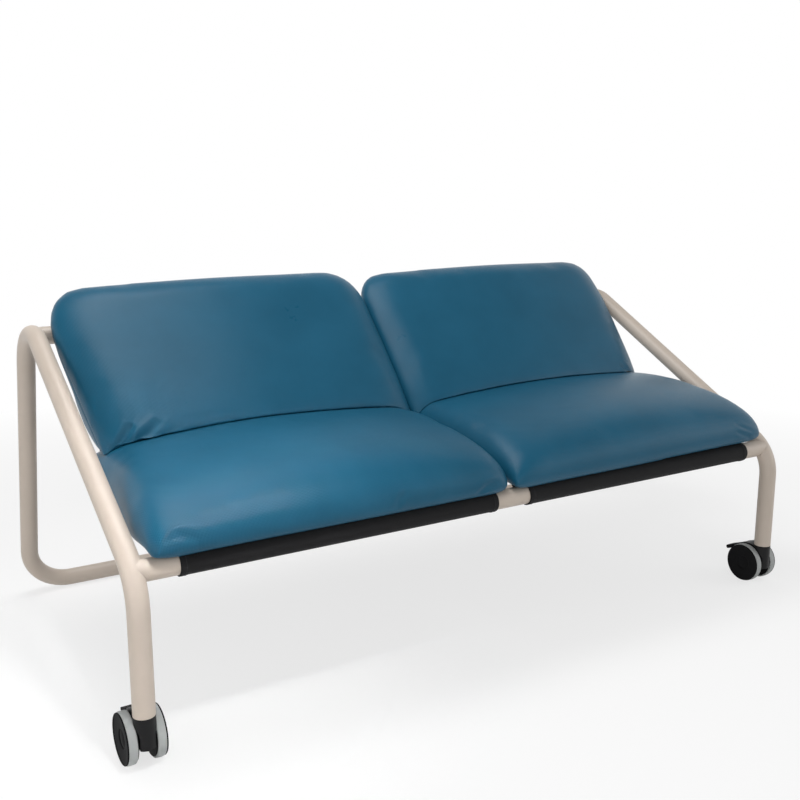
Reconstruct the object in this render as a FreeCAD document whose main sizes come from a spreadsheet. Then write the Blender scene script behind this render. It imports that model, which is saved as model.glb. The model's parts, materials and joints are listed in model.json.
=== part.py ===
"""Two-seat office sofa: a bent tube frame on two braked casters and a floor rail.

Millimetres, +X to the right of someone who faces the sofa, +Y to its back, +Z up.
The origin is on the floor, under the middle of the overall box.
"""
import FreeCAD, Part
import Sketcher
import math
import os

doc = FreeCAD.newDocument("office_sofa")

# Driving dimensions, in millimetres and degrees
SIZES = {
    # Bent tubes of the frame
    "tube_diameter": 38,
    "tube_wall": 2,
    "bend_radius": 95,
    "leg_spacing": 1530,
    "leg_end_height": 94,
    "arm_corner_height": 326,
    "arm_angle": 28,
    "arm_reach": 686,
    "rear_lean": 15.2,
    "rear_joint_height": 300,
    "front_rail_turn": 41.4,
    "top_rail_turn": 53,
    "rail_cope_margin": 4,
    "spigot_length": 80,
    "spigot_wall": 2,
    "spigot_clearance": 0.1,
    # Glides under the floor rail
    "glide_thickness": 2,
    "glide_width": 24,
    "glide_length": 60,
    "glide_offset": 420,
    "glide_peg_diameter": 6,
    "glide_peg_length": 6,
    "glide_clearance": 0.1,
    # Fabric slings
    "sleeve_wall": 2,
    "sleeve_clearance": 0.1,
    "web_thickness": 1.6,
    "sling_inner_edge": 40,
    "sling_outer_edge": 690,
    "seat_slope": 5.5,
    "back_slope": 62,
    "crease_radius": 90,
    # Cushions
    "cushion_side_gap": 13,
    "cushion_centre_gap": 4,
    "cushion_clearance": 0.6,
    "cushion_corner_radius": 44,
    "cushion_end_ease": 3,
    "cover_thickness": 1.5,
    "foam_clearance": 0.3,
    "seat_overhang": 36,
    "seat_front_height": 88,
    "seat_crown_setback": 247,
    "seat_crown_height": 134,
    "seat_crown_radius": 400,
    "seat_fall": 11.5,
    "back_taper": 13.3,
    "back_foot_depth": 183,
    "back_length": 344,
    # Casters
    "wheel_diameter": 90,
    "wheel_width": 19.5,
    "wheel_offset": 24.4,
    "caster_trail": 29,
    "tread_thickness": 4,
    "tread_round": 3,
    "hub_rim_thickness": 5,
    "hub_web_thickness": 6,
    "hub_boss_radius": 10,
    "hub_boss_length": 10,
    "cap_thickness": 2.5,
    "cap_recess_radius": 17,
    "cap_recess_depth": 3.5,
    "cap_dome_radius": 12,
    "cap_dome_height": 2,
    "axle_diameter": 8,
    "axle_clearance": 0.05,
    "clip_radius": 8,
    "clip_thickness": 1.5,
    "clip_gap": 0.3,
    "stem_diameter": 11,
    "stem_clearance": 0.05,
    "stem_depth": 33,
    "stem_reach": 44,
    "socket_length": 50,
    "socket_clearance": 0.1,
    "swivel_gap": 0.4,
    "housing_width": 26,
    "housing_floor": 38,
    "housing_rear": 28,
    "hood_radius": 46.5,
    "wheel_pocket_gap": 1.5,
    "brake_pivot_back": 25,
    "brake_pivot_up": 33,
    "brake_pin_diameter": 4,
    "brake_pin_clearance": 0.05,
    "brake_boss_radius": 6,
    "brake_boss_width": 14,
    "brake_cheek_gap": 0.4,
    "brake_slot_room": 4,
    "brake_tongue_start": 11,
    "brake_tongue_reach": 38,
    "brake_tongue_drop": 15,
    "brake_tongue_width": 24,
    "brake_tongue_thickness": 9,
}

# Places worked out from the driving dimensions, each from those above it
PLACES = {
    "tube_radius": "sizes.tube_diameter / 2",
    "bore_radius": "tube_radius - sizes.tube_wall",
    "half_spacing": "sizes.leg_spacing / 2",
    "rail_height": "tube_radius + sizes.glide_thickness",
    "top_corner_height": "sizes.arm_corner_height + sizes.arm_reach * tan(sizes.arm_angle)",
    "rear_reach": "sizes.arm_reach + (top_corner_height - rail_height) * tan(sizes.rear_lean)",
    "leg_y": "-rear_reach / 2",
    "rear_y": "rear_reach / 2",
    "top_corner_y": "leg_y + sizes.arm_reach",
    "joint_y": "top_corner_y + (top_corner_height - sizes.rear_joint_height) * tan(sizes.rear_lean)",
    "joint_length": "(sizes.rear_joint_height - rail_height) / cos(sizes.rear_lean)",
    "front_tangent": "sizes.bend_radius * tan((90 - sizes.arm_angle) / 2)",
    "front_rail_y": "leg_y + sizes.bend_radius * (1 - cos(sizes.front_rail_turn))",
    "front_rail_z": "sizes.arm_corner_height - front_tangent"
                    " + sizes.bend_radius * sin(sizes.front_rail_turn)",
    "top_tangent": "sizes.bend_radius * tan((sizes.arm_angle + 90 - sizes.rear_lean) / 2)",
    "top_bend_y": "top_corner_y - top_tangent * cos(sizes.arm_angle)"
                  " + sizes.bend_radius * sin(sizes.arm_angle)",
    "top_bend_z": "top_corner_height - top_tangent * sin(sizes.arm_angle)"
                  " - sizes.bend_radius * cos(sizes.arm_angle)",
    "top_rail_y": "top_bend_y + sizes.bend_radius * sin(sizes.top_rail_turn - sizes.arm_angle)",
    "top_rail_z": "top_bend_z + sizes.bend_radius * cos(sizes.top_rail_turn - sizes.arm_angle)",
    "sleeve_bore": "tube_radius + sizes.sleeve_clearance",
    "sleeve_radius": "sleeve_bore + sizes.sleeve_wall",
    "sleeve_middle": "sleeve_bore + sizes.sleeve_wall / 2",
    "seat_grade": "-tan(sizes.seat_slope)",
    "back_grade": "tan(sizes.back_slope)",
    "web_front_y": "front_rail_y + sleeve_middle * sin(sizes.seat_slope)",
    "web_front_z": "front_rail_z + sleeve_middle * cos(sizes.seat_slope)",
    "web_top_y": "top_rail_y - sleeve_middle * sin(sizes.back_slope)",
    "web_top_z": "top_rail_z + sleeve_middle * cos(sizes.back_slope)",
    "web_crease_y": "(web_top_z - web_front_z + seat_grade * web_front_y - back_grade * web_top_y)"
                    " / (seat_grade - back_grade)",
    "web_crease_z": "web_front_z + seat_grade * (web_crease_y - web_front_y)",
    # The two planes that the cushions lie on, one clearance inside the slings
    "rest_offset": "sizes.sleeve_wall / 2 + sizes.cushion_clearance",
    "seat_rest_y": "web_front_y + rest_offset * sin(sizes.seat_slope)",
    "seat_rest_z": "web_front_z + rest_offset * cos(sizes.seat_slope)",
    "back_rest_y": "web_top_y - rest_offset * sin(sizes.back_slope)",
    "back_rest_z": "web_top_z + rest_offset * cos(sizes.back_slope)",
    "crease_fillet": "sizes.crease_radius - rest_offset",
    # Corners of the seat cushion, seen from its end
    "seat_front_y": "front_rail_y - sizes.seat_overhang",
    "seat_front_low": "seat_rest_z + seat_grade * (seat_front_y - seat_rest_y)",
    "seat_front_high": "seat_front_low + sizes.seat_front_height",
    "seat_crown_y": "front_rail_y + sizes.seat_crown_setback",
    "seat_crown_z": "seat_rest_z + sizes.seat_crown_height",
    "fall_grade": "-tan(sizes.seat_fall)",
    "seat_rear_y": "(back_rest_z - seat_crown_z + fall_grade * seat_crown_y - back_grade * back_rest_y)"
                   " / (fall_grade - back_grade)",
    "seat_rear_high": "seat_crown_z + fall_grade * (seat_rear_y - seat_crown_y)",
    "seat_heel_y": "(back_rest_z - seat_rest_z + seat_grade * seat_rest_y - back_grade * back_rest_y)"
                   " / (seat_grade - back_grade)",
    "seat_heel_z": "seat_rest_z + seat_grade * (seat_heel_y - seat_rest_y)",
    # Corners of the back cushion, which stands on the rear of the seat cushion
    "back_foot_z": "seat_crown_z + sizes.cushion_clearance / cos(sizes.seat_fall)",
    "back_face_angle": "sizes.back_slope - sizes.back_taper",
    "face_grade": "tan(back_face_angle)",
    "back_heel_y": "(back_rest_z - back_foot_z + fall_grade * seat_crown_y - back_grade * back_rest_y)"
                   " / (fall_grade - back_grade)",
    "back_heel_z": "back_foot_z + fall_grade * (back_heel_y - seat_crown_y)",
    "back_front_y": "back_heel_y - sizes.back_foot_depth",
    "back_front_z": "back_foot_z + fall_grade * (back_front_y - seat_crown_y)",
    "back_middle": "(back_face_angle + sizes.back_slope) / 2",
    "back_end_y": "(back_front_y + back_heel_y) / 2 + sizes.back_length * cos(back_middle)",
    "back_end_z": "(back_front_z + back_heel_z) / 2 + sizes.back_length * sin(back_middle)",
    "end_grade": "-tan(90 - back_middle)",
    "back_brow_y": "(back_end_z - back_front_z + face_grade * back_front_y - end_grade * back_end_y)"
                   " / (face_grade - end_grade)",
    "back_brow_z": "back_front_z + face_grade * (back_brow_y - back_front_y)",
    "back_nape_y": "(back_end_z - back_rest_z + back_grade * back_rest_y - end_grade * back_end_y)"
                   " / (back_grade - end_grade)",
    "back_nape_z": "back_rest_z + back_grade * (back_nape_y - back_rest_y)",
    "back_top_width": "(back_nape_y - back_brow_y) / sin(back_middle)",
    "back_top_radius": "min(sizes.cushion_corner_radius; back_top_width / 2 - sizes.cushion_end_ease)",
    "cushion_outer": "half_spacing - tube_radius - sizes.cushion_side_gap",
    "cushion_width": "cushion_outer - sizes.cushion_centre_gap / 2",
    "cushion_middle": "cushion_outer - cushion_width / 2",
    "sling_width": "sizes.sling_outer_edge - sizes.sling_inner_edge",
    "sling_middle": "(sizes.sling_outer_edge + sizes.sling_inner_edge) / 2",
    # Caster places, from the swivel axis and the floor
    "wheel_radius": "sizes.wheel_diameter / 2",
    "hub_radius": "wheel_radius - sizes.tread_thickness",
    "wheel_inner_face": "sizes.wheel_offset - sizes.wheel_width / 2",
    "wheel_outer_face": "sizes.wheel_offset + sizes.wheel_width / 2",
    "axle_radius": "sizes.axle_diameter / 2",
    "axle_y": "leg_y + sizes.caster_trail",
    "boss_face": "wheel_inner_face + sizes.hub_boss_length",
    "cap_face": "wheel_outer_face - sizes.cap_thickness",
    "cap_floor": "wheel_outer_face - sizes.cap_recess_depth",
    "axle_end": "boss_face + 2 * sizes.clip_gap + sizes.clip_thickness",
    "housing_top": "sizes.leg_end_height - sizes.swivel_gap",
    "pivot_y": "axle_y + sizes.brake_pivot_back",
    "pivot_z": "wheel_radius + sizes.brake_pivot_up",
    "tongue_tip_y": "pivot_y + sizes.brake_tongue_reach",
    "tongue_tip_z": "pivot_z - sizes.brake_tongue_drop",
    "tongue_angle": "-atan(sizes.brake_tongue_drop / sizes.brake_tongue_reach)",
    "tongue_length": "sqrt(sizes.brake_tongue_reach ^ 2 + sizes.brake_tongue_drop ^ 2)",
}

SIDES = {"left": -1, "right": 1}
X_AXIS = FreeCAD.Vector(1, 0, 0)
Y_AXIS = FreeCAD.Vector(0, 1, 0)
Z_AXIS = FreeCAD.Vector(0, 0, 1)
UPRIGHT = FreeCAD.Rotation(FreeCAD.Vector(1, 1, 1), 120)
ALONG_X = FreeCAD.Rotation(Y_AXIS, 90)
FULL_TURN = 360
POINT_TOLERANCE = 0.01

sub_parts = []


def fill_sheet(name, cells, as_formula):
    """Write one row per value and give each cell its alias."""
    sheet = doc.addObject("Spreadsheet::Sheet", name)
    for row, (alias, content) in enumerate(cells.items(), start=1):
        cell = "B%d" % row
        sheet.set("A%d" % row, alias)
        sheet.set(cell, "=" + content if as_formula else str(content))
        sheet.setAlias(cell, alias)
    doc.recompute()
    return sheet


sizes = fill_sheet("sizes", SIZES, as_formula=False)
places = fill_sheet("places", PLACES, as_formula=True)


def number(expression):
    """The value that an expression has with the sheets as they are."""
    result = sizes.evalExpression(expression)
    return float(getattr(result, "Value", result))


def bind(thing, **expressions):
    """Bind properties to expressions; a double underscore stands for a dot."""
    for path, expression in expressions.items():
        thing.setExpression(path.replace("__", "."), str(expression))
    return thing


def place(thing, x="0", y="0", z="0", rotation=None):
    """Put an object at a place given by three expressions."""
    if rotation is not None:
        thing.Placement = FreeCAD.Placement(FreeCAD.Vector(), rotation)
    return bind(thing, Placement__Base__x=x, Placement__Base__y=y, Placement__Base__z=z)


def keep(thing, label):
    """Name a finished sub-part and list it for writing."""
    thing.Label = label
    sub_parts.append(thing)
    return thing


def cylinder(name, radius, height, x="0", y="0", z="0", rotation=None):
    """A round bar from its base point, along Z unless it is turned."""
    bar = bind(doc.addObject("Part::Cylinder", name), Radius=radius, Height=height)
    return place(bar, x, y, z, rotation)


def cross_bar(name, radius, length, x, y, z):
    """A round bar along X with its middle at the given place."""
    return cylinder(name, radius, length, "%s - (%s) / 2" % (x, length), y, z, ALONG_X)


def block(name, length, width, height, x, y, z):
    """A box with its length along X, centred there, and its low corner at y and z."""
    box = bind(doc.addObject("Part::Box", name), Length=length, Width=width, Height=height)
    return place(box, "%s - (%s) / 2" % (x, length), y, z)


def cut(name, base, *tools):
    """What is left of the base once every tool is taken away."""
    for step, tool in enumerate(tools):
        result = doc.addObject("Part::Cut", "%s_cut_%d" % (name, step))
        result.Base = base
        result.Tool = tool
        base = result
    return base


def fuse(name, *pieces):
    """Several solids made one."""
    joined = doc.addObject("Part::MultiFuse", name)
    joined.Shapes = list(pieces)
    joined.Refine = True
    return joined


def common(name, *pieces):
    """The room that several solids share."""
    shared = doc.addObject("Part::MultiCommon", name)
    shared.Shapes = list(pieces)
    return shared


def pin_point(sketch, geometry, end, x, y):
    """Hold one point of a sketch at two expressions."""
    for kind, axis, expression in (("DistanceX", -2, x), ("DistanceY", -1, y)):
        value = number(expression)
        if abs(value) < POINT_TOLERANCE:
            sketch.addConstraint(Sketcher.Constraint("PointOnObject", geometry, end, axis))
            continue
        index = sketch.addConstraint(Sketcher.Constraint(kind, -1, 1, geometry, end, value))
        sketch.setExpression("Constraints[%d]" % index, expression)


def draw_outline(sketch, corners):
    """A closed outline of straight lines through corners given as expressions."""
    points = [FreeCAD.Vector(number(x), number(y), 0) for x, y in corners]
    for start, end in zip(points, points[1:] + points[:1]):
        sketch.addGeometry(Part.LineSegment(start, end), False)
    count = len(points)
    for index, (x, y) in enumerate(corners):
        sketch.addConstraint(Sketcher.Constraint("Coincident", index, 2, (index + 1) % count, 1))
        pin_point(sketch, index, 1, x, y)


def bent_path(name, corners, radius):
    """An open path of straight runs with an arc of one radius at each inner corner."""
    sketch = doc.addObject("Sketcher::SketchObject", name)
    points = [FreeCAD.Vector(number(x), number(y), 0) for x, y in corners]
    bend = number(radius)
    run_start = points[0]
    joints = []
    for before, corner, after in zip(points, points[1:], points[2:]):
        way_in = (corner - before).normalize()
        way_out = (after - corner).normalize()
        turn = way_in.getAngle(way_out)
        left = way_in.cross(way_out).z > 0
        reach = bend * math.tan(turn / 2)
        arc_start = corner - way_in * reach
        arc_end = corner + way_out * reach
        inward = FreeCAD.Vector(-way_in.y, way_in.x, 0) * (bend if left else -bend)
        centre = arc_start + inward
        first, last = (arc_start, arc_end) if left else (arc_end, arc_start)
        angles = [math.atan2(p.y - centre.y, p.x - centre.x) for p in (first, last)]
        run = sketch.addGeometry(Part.LineSegment(run_start, arc_start), False)
        circle = Part.Circle(centre, Z_AXIS, bend)
        arc = sketch.addGeometry(Part.ArcOfCircle(circle, angles[0], angles[1]), False)
        joints.append((run, arc, 1 if left else 2, corner))
        run_start = arc_end
    last_run = sketch.addGeometry(Part.LineSegment(run_start, points[-1]), False)
    runs = [joint[0] for joint in joints] + [last_run]
    for (run, arc, arc_in, corner), next_run, place_of in zip(joints, runs[1:], corners[1:]):
        sketch.addConstraint(Sketcher.Constraint("Tangent", run, 2, arc, arc_in))
        sketch.addConstraint(Sketcher.Constraint("Tangent", arc, 3 - arc_in, next_run, 1))
        index = sketch.addConstraint(Sketcher.Constraint("Radius", arc, bend))
        sketch.setExpression("Constraints[%d]" % index, radius)
        mark = sketch.addGeometry(Part.Point(corner), True)
        sketch.addConstraint(Sketcher.Constraint("PointOnObject", mark, 1, run))
        sketch.addConstraint(Sketcher.Constraint("PointOnObject", mark, 1, next_run))
        pin_point(sketch, mark, 1, *place_of)
    pin_point(sketch, runs[0], 1, *corners[0])
    pin_point(sketch, last_run, 2, *corners[-1])
    return sketch


def sweep(name, section, path):
    """A solid made by drawing one section along a path."""
    swept = doc.addObject("Part::Sweep", name)
    swept.Sections = [section]
    swept.Spine = (path, ["Edge%d" % (i + 1) for i in range(len(path.Shape.Edges))])
    swept.Solid = True
    return swept


def plane_of(body, role):
    """One of a body's own origin planes, by its role."""
    return next(f for f in body.Origin.OriginFeatures if f.Role == role)


def body_with_outline(name, role, corners):
    """A new body and a closed outline on one of its origin planes."""
    body = doc.addObject("PartDesign::Body", name)
    sketch = body.newObject("Sketcher::SketchObject", name + "_outline")
    sketch.AttachmentSupport = (plane_of(body, role), [""])
    sketch.MapMode = "FlatFace"
    draw_outline(sketch, corners)
    return body, sketch


def turned(name, corners):
    """A body of revolution about X; corners are places along the axis and radii."""
    body, sketch = body_with_outline(name, "XY_Plane", corners)
    spin = body.newObject("PartDesign::Revolution", name + "_turn")
    spin.Profile = sketch
    spin.ReferenceAxis = (sketch, ["H_Axis"])
    spin.Angle = FULL_TURN
    doc.recompute()
    return body


def round_edges(body, base, name, radius, wanted):
    """Round those edges of a feature that a test picks out."""
    edges = ["Edge%d" % (i + 1) for i, edge in enumerate(base.Shape.Edges) if wanted(edge)]
    fillet = body.newObject("PartDesign::Fillet", name)
    fillet.Base = (base, edges)
    bind(fillet, Radius=radius)
    doc.recompute()
    return fillet


# Side tubes, each from its caster up the leg, along the arm and down the rear leg
def tube(name, path, x, y, z, lean):
    """The outer solid and the bore of a tube along a path, from a round section at its start."""
    solids = []
    for kind, radius in (("outer", "places.tube_radius"), ("bore", "places.bore_radius")):
        circle = bind(doc.addObject("Part::Circle", "%s_%s_section" % (name, kind)), Radius=radius)
        place(circle, x, y, z, FreeCAD.Rotation(X_AXIS, number(lean)))
        bind(circle, Placement__Rotation__Angle=lean)
        solids.append(sweep("%s_%s" % (name, kind), circle, path))
    doc.recompute()
    return solids


def side_tube(side, sign):
    """One side tube and its outer solid, which the rails are coped against."""
    x = "%d * places.half_spacing" % sign
    path = bent_path(side + "_side_path", [
        ("places.leg_y", "sizes.leg_end_height"),
        ("places.leg_y", "sizes.arm_corner_height"),
        ("places.top_corner_y", "places.top_corner_height"),
        ("places.joint_y", "sizes.rear_joint_height"),
    ], "sizes.bend_radius")
    place(path, x, rotation=UPRIGHT)
    doc.recompute()
    outer, bore = tube(side + "_side", path, x, "places.leg_y", "sizes.leg_end_height", "0")
    keep(cut(side + "_side_tube", outer, bore), side + "_side_tube")
    return outer


def rear_bow():
    """The lower rear legs and the floor rail, one tube bent in the plane of the rear legs."""
    path = bent_path("rear_bow_path", [
        ("-places.half_spacing", "places.joint_length"),
        ("-places.half_spacing", "0"),
        ("places.half_spacing", "0"),
        ("places.half_spacing", "places.joint_length"),
    ], "sizes.bend_radius")
    place(path, "0", "places.rear_y", "places.rail_height", FreeCAD.Rotation(X_AXIS, 90))
    bind(path, Placement__Rotation__Angle="90 + sizes.rear_lean")
    doc.recompute()
    outer, bore = tube("rear_bow", path, "-places.half_spacing", "places.joint_y",
                       "sizes.rear_joint_height", "sizes.rear_lean")
    holes = [cylinder(side + "_peg_hole", "sizes.glide_peg_diameter / 2 + sizes.glide_clearance",
                      "places.rail_height", "%d * sizes.glide_offset" % sign, "places.rear_y", "0")
             for side, sign in SIDES.items()]
    keep(cut("rear_bow", outer, bore, *holes), "rear_bow")


def joint_spigot(side, sign):
    """The inner sleeve that lines up a side tube with the rear bow."""
    radius = "places.bore_radius - sizes.spigot_clearance"
    x = "%d * places.half_spacing" % sign
    y = "places.joint_y + sin(sizes.rear_lean) * sizes.spigot_length / 2"
    z = "sizes.rear_joint_height - cos(sizes.rear_lean) * sizes.spigot_length / 2"
    bars = []
    for kind, size in (("outer", radius), ("bore", radius + " - sizes.spigot_wall")):
        bar = cylinder("%s_spigot_%s" % (side, kind), size, "sizes.spigot_length", x, y, z,
                       FreeCAD.Rotation(X_AXIS, number("sizes.rear_lean")))
        bars.append(bind(bar, Placement__Rotation__Angle="sizes.rear_lean"))
    keep(cut(side + "_spigot", *bars), side + "_joint_spigot")


def cross_rail(name, y, z, side_solids):
    """A straight tube between the side tubes, its ends coped to their bends."""
    length = "sizes.leg_spacing - 2 * sizes.rail_cope_margin"
    outer = cross_bar(name + "_outer", "places.tube_radius", length, "0", y, z)
    bore = cross_bar(name + "_bore", "places.bore_radius", length, "0", y, z)
    keep(cut(name, outer, bore, *side_solids), name)


def glide(side, sign):
    """A flat plastic foot clipped under the floor rail by a peg."""
    x = "%d * sizes.glide_offset" % sign
    pad = block(side + "_glide_pad", "sizes.glide_length", "sizes.glide_width", "places.rail_height",
                x, "places.rear_y - sizes.glide_width / 2", "0")
    seat = cross_bar(side + "_glide_seat", "places.tube_radius + sizes.glide_clearance",
                     "2 * sizes.glide_length", x, "places.rear_y", "places.rail_height")
    peg = cylinder(side + "_glide_peg", "sizes.glide_peg_diameter / 2",
                   "sizes.glide_thickness / 2 + sizes.glide_peg_length", x, "places.rear_y",
                   "sizes.glide_thickness / 2")
    saddle = cut(side + "_glide_saddle", pad, seat)
    keep(fuse(side + "_glide_body", saddle, peg), side + "_glide")


# Fabric slings, each with a sewn sleeve on the front rail and on the top rail
def sling(side, sign):
    """A fabric web with a sleeve round each of its two rails."""
    x = "%d * places.sling_middle" % sign
    path = bent_path(side + "_web_path", [
        ("places.web_front_y", "places.web_front_z"),
        ("places.web_crease_y", "places.web_crease_z"),
        ("places.web_top_y", "places.web_top_z"),
    ], "sizes.crease_radius")
    place(path, x, rotation=UPRIGHT)
    section = doc.addObject("Sketcher::SketchObject", side + "_web_section")
    half_width = "places.sling_width / 2"
    half_wall = "sizes.web_thickness / 2"
    draw_outline(section, [("-" + half_width, "-" + half_wall), (half_width, "-" + half_wall),
                           (half_width, half_wall), ("-" + half_width, half_wall)])
    place(section, x, "places.web_front_y", "places.web_front_z", FreeCAD.Rotation(X_AXIS, 90))
    bind(section, Placement__Rotation__Angle="90 - sizes.seat_slope")
    doc.recompute()
    web = sweep(side + "_web", section, path)
    sleeves = []
    bores = []
    for rail in ("front_rail", "top_rail"):
        where = (x, "places.%s_y" % rail, "places.%s_z" % rail)
        name = "%s_%s_sleeve" % (side, rail)
        sleeves.append(cross_bar(name, "places.sleeve_radius", "places.sling_width", *where))
        bores.append(cross_bar(name + "_bore", "places.sleeve_bore", "2 * places.sling_width", *where))
    keep(cut(side + "_sling", fuse(side + "_sling_cloth", web, *sleeves), *bores), side + "_sling")


# Cushions, each a sewn cover round a foam filling
def hollow_skin(name, outside, inside):
    """A closed skin: the shell of one solid with that of the solid inside it turned inwards."""
    skin = doc.addObject("Part::Feature", name)
    shells = [outside.Shape.Shells[0], inside.Shape.Shells[0].reversed()]
    skin.Shape = Part.makeSolid(Part.Compound(shells))
    return skin


def cushion(name, sign, end_radius, corners):
    """A cushion from its corners seen from the end, each with the radius of its rounding."""
    body, sketch = body_with_outline(name + "_form", "YZ_Plane", [corner[:2] for corner in corners])
    pad = body.newObject("PartDesign::Pad", name + "_pad")
    pad.Profile = sketch
    pad.SideType = "Symmetric"
    bind(pad, Length="places.cushion_width")
    doc.recompute()
    shape = pad
    for index, (y, z, radius) in enumerate(corners):
        at_y = number(y)
        at_z = number(z)

        def along_corner(edge):
            """Whether an edge runs across the cushion at this corner."""
            box = edge.BoundBox
            offsets = (box.YMin - at_y, box.YMax - at_y, box.ZMin - at_z, box.ZMax - at_z)
            return max(abs(offset) for offset in offsets) < POINT_TOLERANCE

        shape = round_edges(body, shape, "%s_round_%d" % (name, index), radius, along_corner)
    round_edges(body, shape, name + "_ends", end_radius,
                lambda edge: edge.BoundBox.XLength < POINT_TOLERANCE)
    place(body, "%d * places.cushion_middle" % sign)
    inner = doc.addObject("Part::Offset", name + "_hollow")
    filling = doc.addObject("Part::Offset", name + "_filling")
    for offset, depth in ((inner, "sizes.cover_thickness"),
                          (filling, "sizes.cover_thickness + sizes.foam_clearance")):
        offset.Source = body
        bind(offset, Value="-(%s)" % depth)
    doc.recompute()
    keep(hollow_skin(name + "_skin", body, inner), name + "_cover")
    keep(filling, name + "_foam")


def seat_cushion(side, sign):
    """The seat cushion: low at the front, crowned, and falling into the crease."""
    corner = "sizes.cushion_corner_radius"
    cushion(side + "_seat", sign, corner + " - sizes.cushion_end_ease", [
        ("places.seat_front_y", "places.seat_front_low", corner),
        ("places.seat_heel_y", "places.seat_heel_z", "places.crease_fillet"),
        ("places.seat_rear_y", "places.seat_rear_high", corner),
        ("places.seat_crown_y", "places.seat_crown_z", "sizes.seat_crown_radius"),
        ("places.seat_front_y", "places.seat_front_high", corner),
    ])


def back_cushion(side, sign):
    """The back cushion: a wedge that stands on the seat cushion and leans on the sling."""
    corner = "sizes.cushion_corner_radius"
    top = "places.back_top_radius"
    cushion(side + "_back", sign, top + " - sizes.cushion_end_ease", [
        ("places.back_front_y", "places.back_front_z", corner),
        ("places.back_heel_y", "places.back_heel_z", corner),
        ("places.back_nape_y", "places.back_nape_z", top),
        ("places.back_brow_y", "places.back_brow_z", top),
    ])


# Casters: a socket in the leg, a swivelling housing, two wheels and a brake lever
def caster(side, sign):
    """Every piece of one caster."""
    x = "%d * places.half_spacing" % sign
    at_leg = (x, "places.leg_y")
    at_axle = (x, "places.axle_y", "places.wheel_radius")
    at_pivot = (x, "places.pivot_y", "places.pivot_z")
    stem_bottom = "places.housing_top - sizes.stem_depth"
    stem_radius = "sizes.stem_diameter / 2"

    plug = cylinder(side + "_plug", "places.bore_radius - sizes.socket_clearance", "sizes.socket_length",
                    *at_leg, "sizes.leg_end_height")
    plug_bore = cylinder(side + "_plug_bore", stem_radius + " + sizes.stem_clearance",
                         "sizes.socket_length", *at_leg, "sizes.leg_end_height")
    keep(cut(side + "_socket", plug, plug_bore), side + "_caster_socket")

    stem_length = "sizes.stem_depth + sizes.swivel_gap + sizes.stem_reach"
    keep(cylinder(side + "_stem", stem_radius, stem_length, *at_leg, stem_bottom), side + "_caster_stem")

    collar = cylinder(side + "_collar", "places.tube_radius", "places.housing_top - sizes.housing_floor",
                      *at_leg, "sizes.housing_floor")
    pockets = []
    for way in (-1, 1):
        middle = "%s + %d * (sizes.housing_width + sizes.wheel_width) / 2" % (x, way)
        pockets.append(cross_bar("%s_pocket_%d" % (side, way), "places.wheel_radius + sizes.wheel_pocket_gap",
                                 "sizes.wheel_width", middle, *at_axle[1:]))
    hood = cross_bar(side + "_hood", "sizes.hood_radius", "sizes.housing_width", *at_axle)
    hood_room = block(side + "_hood_room", "sizes.housing_width", "sizes.caster_trail + sizes.housing_rear",
                      "places.housing_top - sizes.housing_floor", x, "places.leg_y", "sizes.housing_floor")
    shell = fuse(side + "_shell", cut(side + "_necked", collar, *pockets),
                 common(side + "_hood_cut", hood, hood_room))
    slot_start = "places.pivot_y - sizes.brake_boss_radius - sizes.brake_cheek_gap"
    slot = block(side + "_slot", "sizes.brake_boss_width + 2 * sizes.brake_cheek_gap", "sizes.hood_radius",
                 "sizes.hood_radius", x, slot_start,
                 "places.pivot_z - sizes.brake_boss_radius - sizes.brake_slot_room")
    stem_hole = cylinder(side + "_stem_hole", stem_radius, "sizes.stem_depth", *at_leg, stem_bottom)
    axle_hole = cross_bar(side + "_axle_hole", "places.axle_radius", "2 * sizes.housing_width", *at_axle)
    pin_hole = cross_bar(side + "_pin_hole", "sizes.brake_pin_diameter / 2",
                         "2 * sizes.housing_width", *at_pivot)
    keep(cut(side + "_housing", shell, slot, stem_hole, axle_hole, pin_hole), side + "_caster_housing")

    keep(cross_bar(side + "_axle", "places.axle_radius", "2 * places.axle_end", *at_axle),
         side + "_caster_axle")
    keep(cross_bar(side + "_pin", "sizes.brake_pin_diameter / 2", "sizes.housing_width", *at_pivot),
         side + "_brake_pin")

    clips = []
    for way in (-1, 1):
        middle = "%s + %d * (places.boss_face + sizes.clip_gap + sizes.clip_thickness / 2)" % (x, way)
        disc = cross_bar("%s_clip_%d" % (side, way), "sizes.clip_radius", "sizes.clip_thickness",
                         middle, *at_axle[1:])
        hole = cross_bar("%s_clip_hole_%d" % (side, way), "places.axle_radius", "sizes.wheel_width",
                         middle, *at_axle[1:])
        clips.append(cut("%s_ring_%d" % (side, way), disc, hole))
    pair = doc.addObject("Part::Compound", side + "_clips")
    pair.Links = clips
    keep(pair, side + "_axle_clips")

    brake_lever(side, x, at_pivot)
    for position, way in (("outer", sign), ("inner", -sign)):
        wheel("%s_%s" % (side, position), way, at_axle)


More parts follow.
